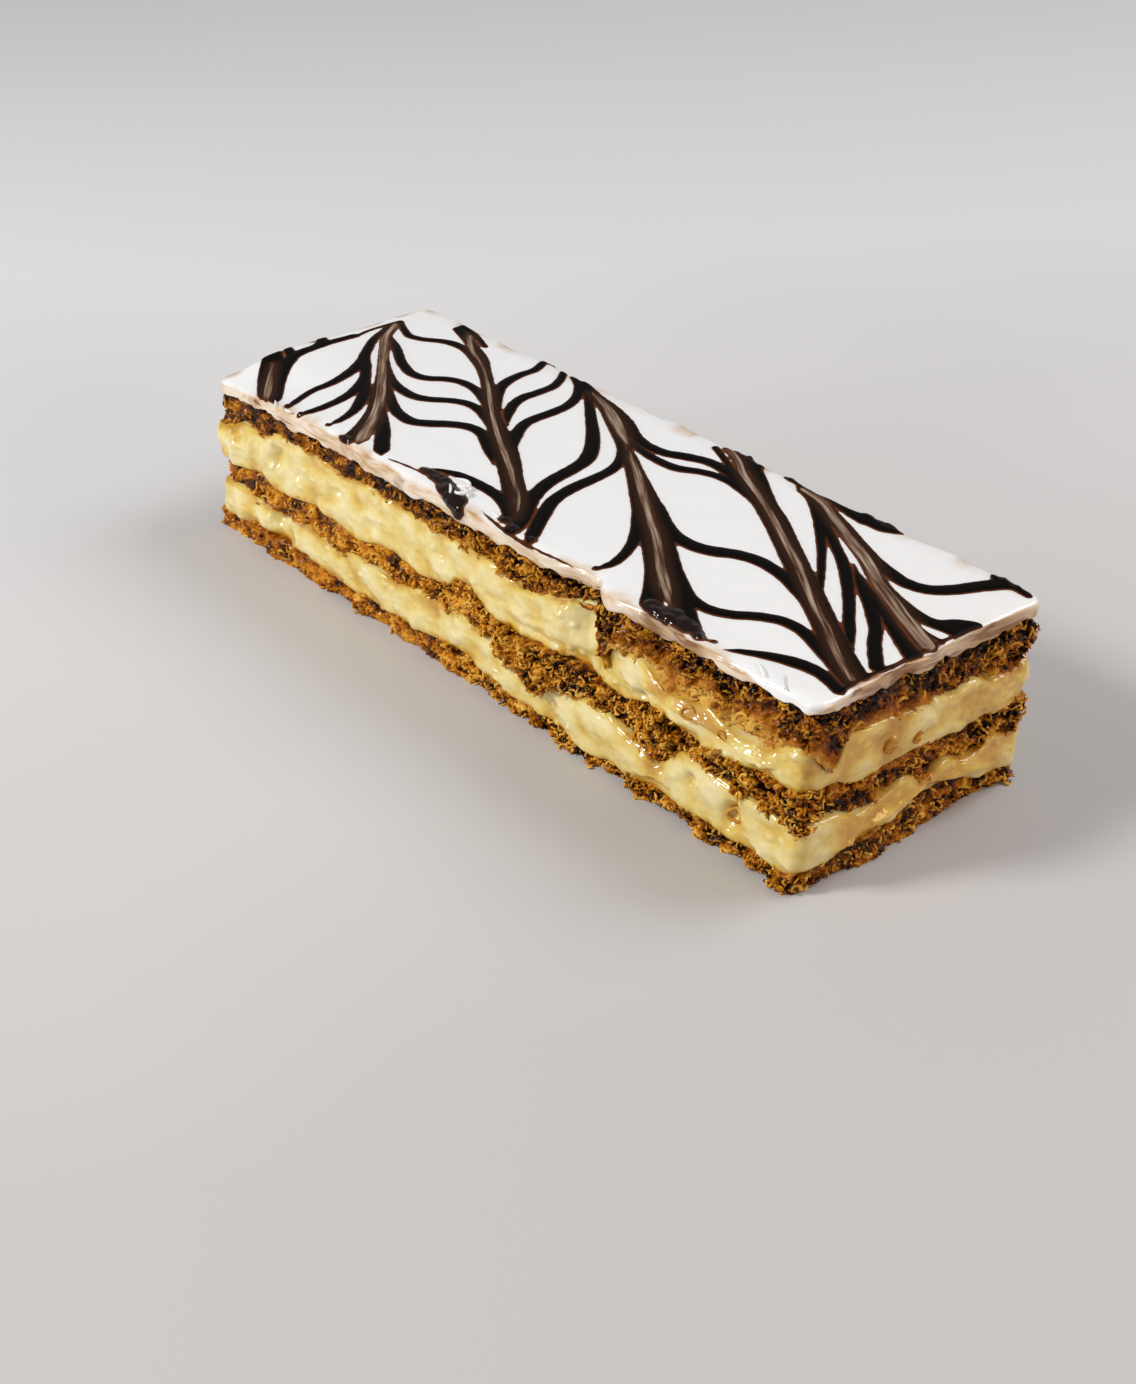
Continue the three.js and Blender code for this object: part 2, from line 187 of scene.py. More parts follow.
# %% The outline
LENGTH = 134
WIDTH = 41.6
ICING_TOP = 27.4
LEAN = 1.6
CORNER_RADIUS = 1.6
CENTRE_X = 0.21  # the middle of the solid model's box, from the outline's centre
CENTRE_Y = 0.98
STRAIGHT_X = LENGTH - 2 * CORNER_RADIUS
STRAIGHT_Y = WIDTH - 2 * CORNER_RADIUS
BEND = CORNER_RADIUS * math.pi / 2
ROUND = 2 * (STRAIGHT_X + STRAIGHT_Y) + 4 * BEND
STEP = 0.16  # from one column of points to the next
COLUMNS = round(ROUND / STEP)
way = np.arange(COLUMNS) / COLUMNS * ROUND


def outline(places):
    """Points on the outline, and the directions straight out of it."""
    points = np.zeros((len(places), 2))
    outward = np.zeros((len(places), 2))
    begin = 0.0
    corner = np.array([-STRAIGHT_X / 2, -WIDTH / 2])
    for side in range(4):
        straight = STRAIGHT_X if side % 2 == 0 else STRAIGHT_Y
        turn = side * math.pi / 2
        ahead = np.array([math.cos(turn), math.sin(turn)])
        beside = np.array([math.sin(turn), -math.cos(turn)])
        on_side = (places >= begin) & (places < begin + straight)
        points[on_side] = corner + np.outer(places[on_side] - begin, ahead)
        outward[on_side] = beside
        begin += straight
        corner = corner + straight * ahead
        on_bend = (places >= begin) & (places < begin + BEND)
        angle = (places[on_bend] - begin) / CORNER_RADIUS
        outward[on_bend] = np.outer(np.cos(angle), beside) + np.outer(np.sin(angle), ahead)
        points[on_bend] = corner + CORNER_RADIUS * (outward[on_bend] - beside)
        begin += BEND
        corner = corner + CORNER_RADIUS * (ahead - beside)
    return points, outward


def way_round(face, at):
    """Distance round the outline of x on the front or back, or of y on an end."""
    starts = {
        "front": STRAIGHT_X / 2 + at, "right": STRAIGHT_X + BEND + STRAIGHT_Y / 2 + at,
        "back": STRAIGHT_X + STRAIGHT_Y + 2 * BEND + STRAIGHT_X / 2 - at,
        "left": 2 * STRAIGHT_X + STRAIGHT_Y + 3 * BEND + STRAIGHT_Y / 2 - at,
    }
    return starts[face]


def placed(x, y, z):
    """Points of the slice in metres, leaning and centred as the solid model is."""
    slid = y + LEAN * z / ICING_TOP - CENTRE_Y
    return np.stack([x - CENTRE_X, slid, z], axis=-1) * MM


edge, outward = outline(way)
print("the outline is", round(ROUND), "mm round, in", COLUMNS, "columns")

# %% [markdown]
# ## Where one layer meets the next
# The boundaries are what the eye reads first, so they are drawn through a few
# heights on each face. Between those places the line runs on smoothly, and a
# fine random raggedness is added where pastry meets cream.

# %% Lines round the slice
LINE_SOFTNESS = 1.2


def smooth(values, width):
    """A line round the slice, averaged over a soft window of that width."""
    reach = np.minimum(way, ROUND - way)
    window = np.where(reach < width, 1 + np.cos(math.pi * reach / width), 0.0)
    spectrum = np.fft.fft(values) * np.fft.fft(window / window.sum())
    return np.real(np.fft.ifft(spectrum))


def line(**faces):
    """A smooth line through the (at, height) pairs of each face."""
    points = [(way_round(face, at), height) for face in faces for at, height in faces[face]]
    places, heights = np.array(points, dtype=float).T
    order = np.argsort(places)
    return smooth(np.interp(way, places[order], heights[order], period=ROUND), LINE_SOFTNESS)


def ragged(chance, width):
    """A random line round the slice that wanders by about 1 over that width."""
    values = smooth(chance.standard_normal(COLUMNS), width)
    return values / values.std()


def away_from(face, at):
    """How far round the outline each column is from a place on a face."""
    away = np.abs(way - way_round(face, at))
    return np.minimum(away, ROUND - away)


def bumps(*features):
    """A line of (face, at, rise, half width) bumps, smooth as bells."""
    total = np.zeros(COLUMNS)
    for face, at, rise, half_width in features:
        total += rise * np.exp(-((away_from(face, at) / half_width) ** 2))
    return total


print("lines are smoothed over", LINE_SOFTNESS, "mm")

# %% Boundaries of the layers
cream_lower_base = line(
    front=[
        (-66, 2.8), (-60, 3.4), (-54, 4.3), (-48, 3.8), (-36, 3.6), (-30, 3.3), (-18, 3.6), (-12, 3.8),
        (0, 4.7), (4, 2.9), (10, 3.0), (22, 2.5), (26, 1.9), (34, 2.5), (40, 2.8), (46, 2.5),
        (58, 2.5), (64, 2.2),
    ],
    right=[
        (-19, 3.3), (-12, 3.9), (-4, 4.5), (-3, 5.4), (4, 6.2), (8, 6.0), (12, 4.5), (16, 3.5),
        (20, 3.3),
    ],
    back=[(60, 3.6), (40, 3.2), (20, 4.7), (0, 3.7), (-20, 3.4), (-38, 2.7), (-60, 3.5)],
    left=[(14, 3.2), (4, 4.0), (-8, 3.0), (-18, 2.8)],
)
cream_lower_top = line(
    front=[
        (-64, 8.0), (-50, 8.1), (-42, 8.5), (-36, 7.1), (-30, 8.5), (-18, 8.5), (-12, 9.5), (4, 9.8),
        (8, 9.0), (11, 6.6), (13, 5.6), (17, 6.1), (20, 8.5), (28, 9.4), (36, 7.6), (42, 7.1),
        (44, 9.5), (48, 10.4), (56, 9.0), (66, 8.7),
    ],
    right=[
        (-20, 9.6), (-14.5, 9.0), (-10.5, 7.5), (-6.5, 8.5), (-2.5, 9.9), (1.5, 8.0), (5.5, 9.0),
        (9.5, 7.5), (13.5, 9.0), (17.5, 8.0),
    ],
    back=[(60, 8.8), (44, 9.2), (30, 7.5), (10, 9.4), (-8, 10.1), (-30, 8.9), (-60, 9.0)],
    left=[(14, 9.0), (4, 8.1), (-8, 9.0), (-18, 8.2)],
)
cream_upper_base = line(
    front=[
        (-64, 12.8), (-56, 13.3), (-50, 12.4), (-38, 13.7), (-30, 11.9), (-22, 14.2), (-12, 13.1),
        (-6, 13.3), (-3.4, 15.8), (0, 16.1), (2, 15.2), (6, 12.8), (14, 13.4), (22, 14.0), (34, 13.3),
        (40, 15.3), (46, 14.2), (50, 13.7), (60, 14.7), (66, 14.6),
    ],
    right=[
        (-20.5, 15.2), (-14.8, 14.5), (-10.8, 13.0), (-6.8, 14.0), (5.2, 14.0), (7.2, 13.5),
        (11.2, 14.0), (19.2, 13.0),
    ],
    back=[(60, 14.0), (44, 13.0), (20, 14.4), (0, 14.2), (-22, 15.6), (-44, 14.0)],
    left=[(16, 14.2), (4, 14.3), (-6, 13.4), (-18, 13.2)],
)
cream_upper_top = line(
    front=[
        (-66, 17.1), (-60, 19.4), (-56, 19.9), (-46, 21.9), (-38, 21.7), (-32, 20.9), (-24, 21.8),
        (-14, 21.3), (0, 21.3), (8, 20.6), (11.5, 19.4), (15, 20.6), (22, 22.3), (26.4, 23.6),
        (27.3, 23.3), (27.9, 20.0), (28.8, 17.8), (29.6, 16.8), (30.4, 17.8), (31.2, 19.6), (38, 19.4),
        (42, 18.0), (50, 18.9), (56, 17.1), (60, 17.5), (65, 20.4),
    ],
    right=[
        (-20.2, 20.0), (-18.6, 18.2), (-17.3, 16.6), (-16.0, 16.3), (-15.0, 17.5), (-14.2, 20.4),
        (-7.2, 19.8), (0.8, 19.5), (4.8, 18.5), (8.8, 19.4), (12.8, 18.0), (19, 18.0),
    ],
    back=[
        (60, 20.8), (44, 20.6), (30, 19.8), (10, 21.5), (-12, 22.6), (-30, 21.6), (-48, 20.4),
        (-62, 21.0),
    ],
    left=[(16, 21.0), (6, 20.2), (-8, 20.6), (-18, 18.4)],
)
icing_base = line(
    front=[
        (-66, 23.4), (-60, 24.2), (-50, 24.6), (-40, 24.7), (0, 25.0), (26, 25.6), (36, 25.2),
        (50, 25.6), (60, 25.9), (66, 25.9),
    ],
    right=[(-18, 25.7), (-9.5, 25.4), (-1.5, 25.1), (8.5, 24.9), (19, 24.9)],
    back=[(60, 25.1), (10, 25.5), (-40, 25.2)], left=[(10, 25.1), (-10, 24.6), (-19, 23.4)],
)
underside = np.zeros(COLUMNS)
for name, below, above in (
    ("bottom pastry", underside, cream_lower_base),
    ("lower cream", cream_lower_base, cream_lower_top),
    ("middle pastry", cream_lower_top, cream_upper_base),
    ("upper cream", cream_upper_base, cream_upper_top),
    ("top pastry", cream_upper_top, icing_base),
):
    print(f"{name}: {(above - below).min():.1f} to {(above - below).max():.1f} mm thick")

# %% [markdown]
# ## How far each layer stands out
# A blunt knife tears the pastry and drags the cream, so no face is flat. These
# lines say how far each layer stands out of the nominal cut. Right of the notch
# in the front face, the top pastry has broken off less and stands proud.

# %% Set-outs
chance = np.random.default_rng(11)
top_out = 0.18 * ragged(chance, 5) + bumps(
    ("front", -67, -0.5, 7), ("front", 23.5, -1.6, 3.2), ("front", 26.6, -0.8, 0.9),
    ("front", 31, 1.0, 3.5), ("front", 48, 0.3, 9), ("left", 8, -1.4, 12), ("back", 52, 0.9, 9),
    ("back", -4, 0.6, 12),
)
middle_out = -0.2 + 0.3 * ragged(chance, 4) + bumps(
    ("front", 12, 1.0, 8), ("front", 41, 0.8, 6), ("left", 0, -1.6, 14), ("right", 16, 0.6, 6),
    ("back", 20, 0.8, 12),
)
bottom_out = -0.1 + 0.3 * ragged(chance, 4) + bumps(
    ("front", -50, 0.5, 8), ("right", 16, -0.8, 6), ("left", 0, 0.6, 14), ("left", -16, 1.0, 6),
    ("back", -30, 0.5, 14),
)
cream_upper_out = 0.1 + 0.15 * ragged(chance, 6) + bumps(
    ("front", 25, -1.5, 3.0), ("front", 45, 0.5, 9), ("left", 4, 0.4, 10), ("left", -17, 1.0, 5),
    ("right", 14, 0.6, 7),
)
cream_lower_out = -0.1 + 0.15 * ragged(chance, 6) + bumps(
    ("front", -49, -1.0, 3), ("front", -24, 0.4, 6), ("front", 30, 0.4, 10), ("left", 0, -1.2, 12),
    ("right", -8, 0.7, 9), ("right", 14, 0.9, 6),
)

# %% [markdown]
# ## One layer as a closed mesh
# A layer is a wall of points, many rows high, closed above and below by rings
# that run inwards to one flat face. The rings keep the hidden lids tidy, and a
# point attribute marks the wall, so that later steps roughen only what was cut.

# %% Meshes from walls
LID_INSETS = (1.0, 2.6, 4.5)


def drawn_in(values, half, inset):
    """Coordinates moved inwards, closing up near the corners so none cross."""
    turn = half - 2 * inset
    past = np.abs(values) - turn
    return np.where(past > 0, np.sign(values) * (turn + past / 2), values)


def lid_rings(height, level):
    """Rings that lead from the wall's edge to a flat middle at that level."""
    rings = []
    for inset in LID_INSETS:
        share = inset / LID_INSETS[-1]
        x = drawn_in(edge[:, 0], LENGTH / 2, inset)
        y = drawn_in(edge[:, 1], WIDTH / 2, inset)
        rings.append(placed(x, y, height + (level - height) * share))
    return rings


def strips(rings):
    """Four-cornered faces between rings of points, listed from below upwards."""
    column = np.arange(COLUMNS)
    following = (column + 1) % COLUMNS
    faces = []
    for ring in range(rings - 1):
        low = ring * COLUMNS
        high = low + COLUMNS
        quads = [low + column, low + following, high + following, high + column]
        faces += np.stack(quads, axis=-1).tolist()
    return faces


print("lid rings lie", LID_INSETS, "mm inside the wall")


# %% Pieces
def mesh_piece(name, points, faces, marks, finish):
    """A smooth shaded piece from points and faces, with float marks on points."""
    mesh = bpy.data.meshes.new(name)
    mesh.from_pydata(points, [], faces)
    for mark, values in marks.items():
        attribute = mesh.attributes.new(mark, "FLOAT", "POINT")
        attribute.data.foreach_set("value", np.asarray(values, dtype=np.float32).ravel())
    mesh.materials.append(finish)
    mesh.shade_smooth()
    mesh.validate()
    return in_scene(name, mesh)


def layer_piece(name, heights, stand_out, marks, finish):
    """A closed layer from its wall: rows of heights and of how far each stands out."""
    rows = len(heights)
    x = edge[:, 0] + outward[:, 0] * stand_out
    y = edge[:, 1] + outward[:, 1] * stand_out
    wall = placed(x, y, heights)
    base = lid_rings(heights[0], heights[0].mean())[::-1]
    lid = lid_rings(heights[-1], heights[-1].mean())
    points = np.concatenate([*base, *wall, *lid])
    rings = rows + len(base) + len(lid)
    faces = strips(rings)
    faces.append(list(range(COLUMNS))[::-1])
    faces.append(list(range((rings - 1) * COLUMNS, rings * COLUMNS)))
    hidden = np.zeros((len(base), COLUMNS))
    full = {"wall": np.concatenate([hidden, np.ones((rows, COLUMNS)), hidden])}
    for mark, values in marks.items():
        full[mark] = np.concatenate([hidden, values, hidden])
    return mesh_piece(name, points.tolist(), faces, full, finish)


def settle(piece):
    """Turns what the piece's modifiers make into its plain mesh."""
    depsgraph = bpy.context.evaluated_depsgraph_get()
    made = bpy.data.meshes.new_from_object(
        piece.evaluated_get(depsgraph), preserve_all_data_layers=True, depsgraph=depsgraph
    )
    made.name = piece.name
    piece.modifiers.clear()
    piece.data = made
    return piece


def hand_over(piece, slot, *nodes):
    """The piece rides on the slice and stands for its solids; its slot is not used."""
    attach(piece, BODY)
    if nodes:
        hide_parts(*nodes)
    piece.data.calc_loop_triangles()
    print(f"{piece.name}: {len(piece.data.loop_triangles)} triangles")


print("pieces ride on the body", BODY)

# %% [markdown]
# ## Baked pastry, as a material
# Puff pastry is thin leaves of dough, dried crisp and browned by the oven. Torn
# edges are pale gold, and sugar that melted on top is dark caramel. Colour
# follows point attributes: how far a spot stands out of its pocket, which paints
# the air pockets almost black as painted shade; a shade mark, each flake's own
# tone and on the walls partly painted shade; and how much melted sugar and fat
# from the cream have soaked it to a glossy golden film.

# %% Pastry material
PATCH_SIZE = 3.2 * MM
GRAIN_SIZE = 0.4 * MM
FILM_STOPS = [(0.15, "#552500"), (0.4, "#8c4800"), (0.62, "#b87214"), (0.95, "#e0b254")]


def pastry_material(name, stops):
    """Baked pastry, coloured by those stops from its pockets to its ridges."""
    made, tree, shader = new_material(
        name,
        {
            "IOR": 1.45, "Specular IOR Level": 0.08, "Coat Weight": 0.25, "Coat Roughness": 0.05,
            "Subsurface Weight": 0.15, "Subsurface Scale": 0.5 * MM,
            "Subsurface Radius": (1.0, 0.45, 0.12),
        },
    )
    place = add(tree, "ShaderNodeTexCoord").outputs["Object"]
    ridge, shade, film = (
        add(tree, MARK, {"attribute_name": mark}).outputs["Fac"] for mark in ("ridge", "shade", "film")
    )
    patches = add(tree, NOISE, {}, {"Vector": place, "Scale": 1 / PATCH_SIZE, "Detail": 3})
    grain = add(tree, NOISE, {}, {"Vector": place, "Scale": 1 / GRAIN_SIZE, "Detail": 3})
    tone = shade
    # the ridge mark darkens the colour deep in each pocket: painted shade
    for source, weight in ((ridge, 1.5), (patches, 1.5), (grain, 0.15)):
        tone = add(tree, MATH, "MULTIPLY_ADD", [source, weight, tone])
    tone = add(tree, MATH, {"operation": "SUBTRACT", "use_clamp": True}, [tone, 1.07])
    crisp_colour = add(tree, RAMP, {"stops": stops}, [tone])
    soaked = add(tree, MATH, "MULTIPLY_ADD", [patches, 0.9, -0.45])
    soaked = add(tree, MATH, "MULTIPLY_ADD", [ridge, 0.25, soaked])
    soaked = add(tree, MATH, {"operation": "MULTIPLY_ADD", "use_clamp": True}, [film, 0.66, soaked])
    film_colour = add(tree, RAMP, {"stops": FILM_STOPS}, [soaked])
    share = add(tree, MATH, {"operation": "MULTIPLY", "use_clamp": True}, [film, 2.2])
    colour = add(tree, MIX, OF_COLOURS, {"Factor": share, "A": crisp_colour, "B": film_colour})
    rough = add(tree, RANGE, {}, {"Value": film, "To Min": 0.3, "To Max": 0.2})
    fill(tree, shader, {"Base Color": colour, "Roughness": rough})
    return made


baked = pastry_material(
    "baked puff pastry",
    [(0.0, "#1f0a00"), (0.2, "#4c2600"), (0.42, "#955000"), (0.68, "#c97f06"), (1.0, "#eab348")],
)
caramelised = pastry_material(
    "caramelised puff pastry",
    [(0.0, "#120500"), (0.2, "#361500"), (0.42, "#783d00"), (0.68, "#ad6806"), (1.0, "#d89a2e")],
)

# %% [markdown]
# ## Crumb
# The cut face of pastry is a mesh of torn leaves round flat air pockets. Cells
# of a Voronoi pattern, stretched along the slice and bent by noise, have just
# that shape: their borders become ridges and their middles sink in. A Geometry
# Nodes tree pushes the wall's fine mesh in and out with such cells and with
# winding ridges of noise, less where fat has softened the pastry. It stores the
# ridge height for the material, and lets no point sink below the table.

# %% Helpers for trees
MOVE = "GeometryNodeSetPosition"
PLACE = "GeometryNodeInputPosition"
STORE = "GeometryNodeStoreNamedAttribute"
READ = "GeometryNodeInputNamedAttribute"
FLOAT = {"data_type": "FLOAT"}
ON_POINTS = {"data_type": "FLOAT", "domain": "POINT"}
LOWEST = (-1.0, -1.0, 0.0)  # far outside the slice, but at the table's height


def named_inputs(tree, *inputs):
    """Gives a Geometry Nodes tree its sockets, and returns its group input."""
    tree.interface.new_socket("Geometry", in_out="INPUT", socket_type="NodeSocketGeometry")
    tree.interface.new_socket("Geometry", in_out="OUTPUT", socket_type="NodeSocketGeometry")
    for name, kind in inputs:
        tree.interface.new_socket(name, in_out="INPUT", socket_type=f"NodeSocket{kind}")
    return add(tree, "NodeGroupInput").outputs


def run_tree(piece, tree, values):
    """Runs a tree on a piece, with its inputs set by identifier, and keeps the mesh."""
    modifier = piece.modifiers.new(tree.name, "NODES")
    modifier.node_group = tree
    for item in tree.interface.items_tree:
        if item.in_out == "INPUT" and item.name in values:
            modifier[item.identifier] = values[item.name]
    return settle(piece)


def above_table(tree, shape):
    """Moves a shape's lowest points up, so that none is below the table."""
    place = add(tree, PLACE)
    raised = add(tree, VECTOR_MATH, "MAXIMUM", [place, LOWEST])
    return add(tree, MOVE, {}, {"Geometry": shape, "Position": raised})


def pushed_out(tree, given, push, name, mark):
    """Pushes the wall out by shares of the depth, and stores a mark on its points."""
    kept = add(tree, STORE, ON_POINTS, {"Geometry": given["Geometry"], "Name": name, "Value": mark})
    push = add(tree, MATH, "MULTIPLY", [push, given["Depth"]])
    push = add(tree, MATH, "MULTIPLY", [push, add(tree, READ, FLOAT, {"Name": "wall"})])
    push = add(tree, VECTOR_MATH, "SCALE", {0: add(tree, "GeometryNodeInputNormal"), "Scale": push})
    return add(tree, MOVE, {}, {"Geometry": kept, "Offset": push})


def end_tree(tree, shape, material):
    """Ends a tree: what it made becomes plain geometry in that material."""
    real = add(tree, "GeometryNodeRealizeInstances", {}, {"Geometry": shape})
    finished = add(tree, "GeometryNodeSetMaterial", {}, {"Geometry": real, "Material": material})
    add(tree, "NodeGroupOutput", {}, {"Geometry": finished})


print("pastry never sinks below z =", LOWEST[2])

# %% Crumb tree
NOISE_MIDDLE = 0.5  # noise varies round this value
crumb = bpy.data.node_groups.new("torn crumb", "GeometryNodeTree")
given = named_inputs(
    crumb, ("Flakes per Metre", "Vector"), ("Warp", "Float"), ("Depth", "Float"), ("Seed", "Float"),
    ("Material", "Material"),
)
spot = add(crumb, VECTOR_MATH, "MULTIPLY", [add(crumb, PLACE), given["Flakes per Metre"]])
spot = add(crumb, VECTOR_MATH, "ADD", [spot, given["Seed"]])
bend = add(crumb, NOISE, {}, {"Vector": spot, "Scale": 1.1, "Detail": 2.0})
bend = add(crumb, VECTOR_MATH, "SUBTRACT", [bend.outputs["Color"], (NOISE_MIDDLE,) * 3])
bend = add(crumb, VECTOR_MATH, "SCALE", {0: bend, "Scale": given["Warp"]})
spot = add(crumb, VECTOR_MATH, "ADD", [spot, bend])
# ridges: the borders of cells, and winding lines where a noise passes its middle
cells = add(crumb, CELLS, {"feature": "DISTANCE_TO_EDGE"}, {"Vector": spot, "Scale": 1.0})
border = add(crumb, RANGE, SOFT_STEP, {"Value": cells, "From Max": 0.34, "To Min": 1.0, "To Max": 0.0})
swirl = add(crumb, NOISE, {}, {"Vector": spot, "Scale": 1.3, "Detail": 1.0, "Distortion": 0.8})
swirl = add(crumb, MATH, "SUBTRACT", [swirl, NOISE_MIDDLE])
swirl = add(crumb, MATH, "ABSOLUTE", [swirl])
worms = add(crumb, RANGE, SOFT_STEP, {"Value": swirl, "From Max": 0.12, "To Min": 1.0, "To Max": 0.0})
fine = add(crumb, NOISE, {}, {"Vector": spot, "Scale": 0.6, "Detail": 1.6})
height = add(crumb, MATH, "MULTIPLY", [worms, 0.36])
height = add(crumb, MATH, "MULTIPLY_ADD", [border, 0.3, height])
height = add(crumb, MATH, "MULTIPLY_ADD", [fine, 1.9, height])
height = add(crumb, MATH, "SUBTRACT", [height, 0.9])
crisp_mark, film_mark = (add(crumb, READ, FLOAT, {"Name": mark}) for mark in ("crisp", "film"))
# crisp crumb takes the full push, and soaked pastry a quarter of it and soft lumps
hard = add(crumb, MATH, "MULTIPLY_ADD", [film_mark, -0.75, 1.0])
hard = add(crumb, MATH, "MULTIPLY", [hard, crisp_mark])
push = add(crumb, MATH, "SUBTRACT", [height, 0.62])
push = add(crumb, MATH, "MULTIPLY", [push, hard])
lumps = add(crumb, NOISE, {}, {"Vector": spot, "Scale": 1.5, "Detail": 1.0})
lumps = add(crumb, MATH, "SUBTRACT", [lumps, NOISE_MIDDLE])
lumps = add(crumb, MATH, "MULTIPLY", [lumps, film_mark])
push = add(crumb, MATH, "MULTIPLY_ADD", [lumps, 0.9, push])
ridge = add(crumb, MATH, "SUBTRACT", [height, 0.5])
ridge = add(crumb, MATH, "MULTIPLY_ADD", [ridge, crisp_mark, 0.5])
moved = pushed_out(crumb, given, push, "ridge", ridge)
end_tree(crumb, above_table(crumb, moved), given["Material"])
print("torn crumb:", len(crumb.nodes), "nodes")

# %% [markdown]
# ## The three pastry layers
# Each leaf of the dough breaks off at its own place, so the wall steps in and
# out from leaf to leaf before the crumb roughens it. The leaves are near a
# millimetre thick after baking. Towards the left the crumb is softer, and on
# the top layer's right half a film of caramel and cream hides its lower leaves.

# %% Pastry walls
LEAF = 0.95
POCKET_LENGTH = 1.7 * MM
POCKET_HEIGHT = 1.05 * MM
crispness = line(
    front=[(-66, 0.5), (-40, 0.45), (-15, 0.55), (4, 0.9), (12, 1.0), (66, 1.0)],
    right=[(-17, 0.7), (-6, 0.55), (6, 0.75), (15, 0.9)], back=[(60, 0.9), (0, 0.75), (-60, 0.8)],
    left=[(15, 0.8), (-15, 0.6)],
)
# how much darker the pastry is painted round the slice: partly uneven baking, partly painted shade in
# the hollow of the front notch (22 to 26 mm) and on the right end, the side that gets less light
dark_bake_and_shade = line(
    front=[
        (-66, 0.04), (-20, 0.0), (4, -0.08), (18, 0.0), (22, 0.35), (26, 0.35), (29, 0.1), (50, 0.08),
        (66, 0.15),
    ],
    right=[(-15, 0.2), (15, 0.15)], back=[(60, 0.1), (0, 0.0), (-60, 0.05)],
    left=[(15, 0.05), (-15, 0.0)],
)
film_height = line(
    front=[
        (-66, 0.6), (0, 0.6), (12, 1.4), (26, 0.8), (28.5, 2.6), (36, 4.0), (42, 5.2), (50, 5.4),
        (58, 5.8), (63, 3.6), (66, 1.4),
    ],
    right=[(-19, 4.5), (-16, 6.5), (-14, 3.0), (-4, 2.4), (6, 2.4), (18, 1.2)],
    back=[(60, 0.8), (40, 2.4), (20, 0.7), (-20, 1.6), (-60, 0.6)], left=[(15, 0.5), (-15, 1.0)],
)
film_fade = line(
    front=[(-66, 0.85), (28, 0.85), (36, 0.6), (60, 0.6), (65, 0.8)], right=[(0, 0.85)],
    back=[(0, 0.85)],
)
print("the film on the top layer's front is up to", round(film_height.max(), 1), "mm high")

# %% Pastry layers
BLEND_FROM, BLEND_OVER = 0.7, 0.3  # shares of a leaf, where it turns into the next one
GROOVE_AT, GROOVE_HALF = 0.85, 0.15
UNDERCUT, UNDERCUT_HEIGHT = 0.6, 0.5  # of the top layer, in mm, just under the icing
# the top layer's colour darkens towards the icing, by that much and over that height in mm
DARKER_NEAR_ICING, DARKER_NEAR_ICING_HEIGHT = 0.4, 0.9


def leaf_steps(chance, heights, low, depth):
    """How far each leaf stands out, with soft grooves between the leaves."""
    wobble = 0.35 * ragged(chance, 6)
    position = np.clip((heights - low + wobble) / LEAF, 0, None)
    index = position.astype(int)
    lines = np.stack([ragged(chance, 2.2) for _ in range(index.max() + 2)])
    column = np.arange(COLUMNS)
    share = position - index
    blend = np.clip((share - BLEND_FROM) / BLEND_OVER, 0, 1)
    here = lines[index, column] * (1 - blend) + lines[index + 1, column] * blend
    groove = 1 - np.abs(share - GROOVE_AT) / GROOVE_HALF
    return depth * (here - 0.9 * np.clip(groove, 0, 1))


def pastry_layer(name, low, high, rows, stand_out, depth, finish, seed):
    """A layer of pastry between two lines, with leaves that step by that depth."""
    chance = np.random.default_rng(seed)
    share = np.linspace(0, 1, rows)[:, None]
    tears = [0.16 * ragged(chance, 0.7) + 0.2 * ragged(chance, 2.5) for _ in range(2)]
    top = high - 0.1 + tears[0]
    bottom = low if low is underside else low + 0.1 + tears[1]
    heights = bottom + (top - bottom) * share
    out = stand_out + leaf_steps(chance, heights, bottom, depth * crispness)
    soaked = np.clip(0.4 + 0.35 * ragged(chance, 2.0), 0, None) * (1.5 - 0.7 * crispness)
    film = 1 - (high - heights) / (soaked + 0.05)
    if low is not underside:
        film = np.maximum(film, 1 - (heights - low) / (soaked + 0.05))
    if high is icing_base:
        reach = film_height * (1 + 0.22 * ragged(chance, 3.0)) + 0.25 * ragged(chance, 0.9)
        film = (low + reach - heights) / (0.3 + film_fade * reach)
        out = out - UNDERCUT * np.exp(-np.clip(high - heights, 0, None) / UNDERCUT_HEIGHT)
    # the walls' shade mark carries that darkening, painted shade included
    shade = -dark_bake_and_shade * np.ones_like(heights)
    # the top layer is painted darker just under the icing
    if high is icing_base:
        shade = shade - 0.04 - DARKER_NEAR_ICING * np.exp(-np.clip(high - heights, 0, None) / DARKER_NEAR_ICING_HEIGHT)
    marks = {"crisp": crispness * np.ones_like(heights), "film": np.clip(film, 0, 1), "shade": shade}
    piece = layer_piece(name, heights, out, marks, finish)
    values = {
        "Flakes per Metre": (1 / POCKET_LENGTH, 1 / POCKET_LENGTH, 1 / POCKET_HEIGHT), "Warp": 1.0,
        "Depth": 1.5 * MM, "Seed": float(seed), "Material": finish,
    }
    return run_tree(piece, crumb, values)


pastry_bottom = pastry_layer(
    "pastry_bottom_crumb", underside, cream_lower_base, rows=24, stand_out=bottom_out, depth=0.3,
    finish=baked, seed=101,
)
pastry_middle = pastry_layer(
    "pastry_middle_crumb", cream_lower_top, cream_upper_base, rows=38, stand_out=middle_out, depth=0.4,
    finish=baked, seed=202,
)
pastry_top = pastry_layer(
    "pastry_top_crumb", cream_upper_top, icing_base, rows=36, stand_out=top_out, depth=0.35,
    finish=caramelised, seed=303,
)

# %% [markdown]
# ## Curled flakes
# Torn leaves curl as they dry, and cover the cut faces like fine shavings. They
# are far too many to place by hand, so Geometry Nodes scatter three curls of
# thin strip over each wall, turn them at random, and bend each one by noise.

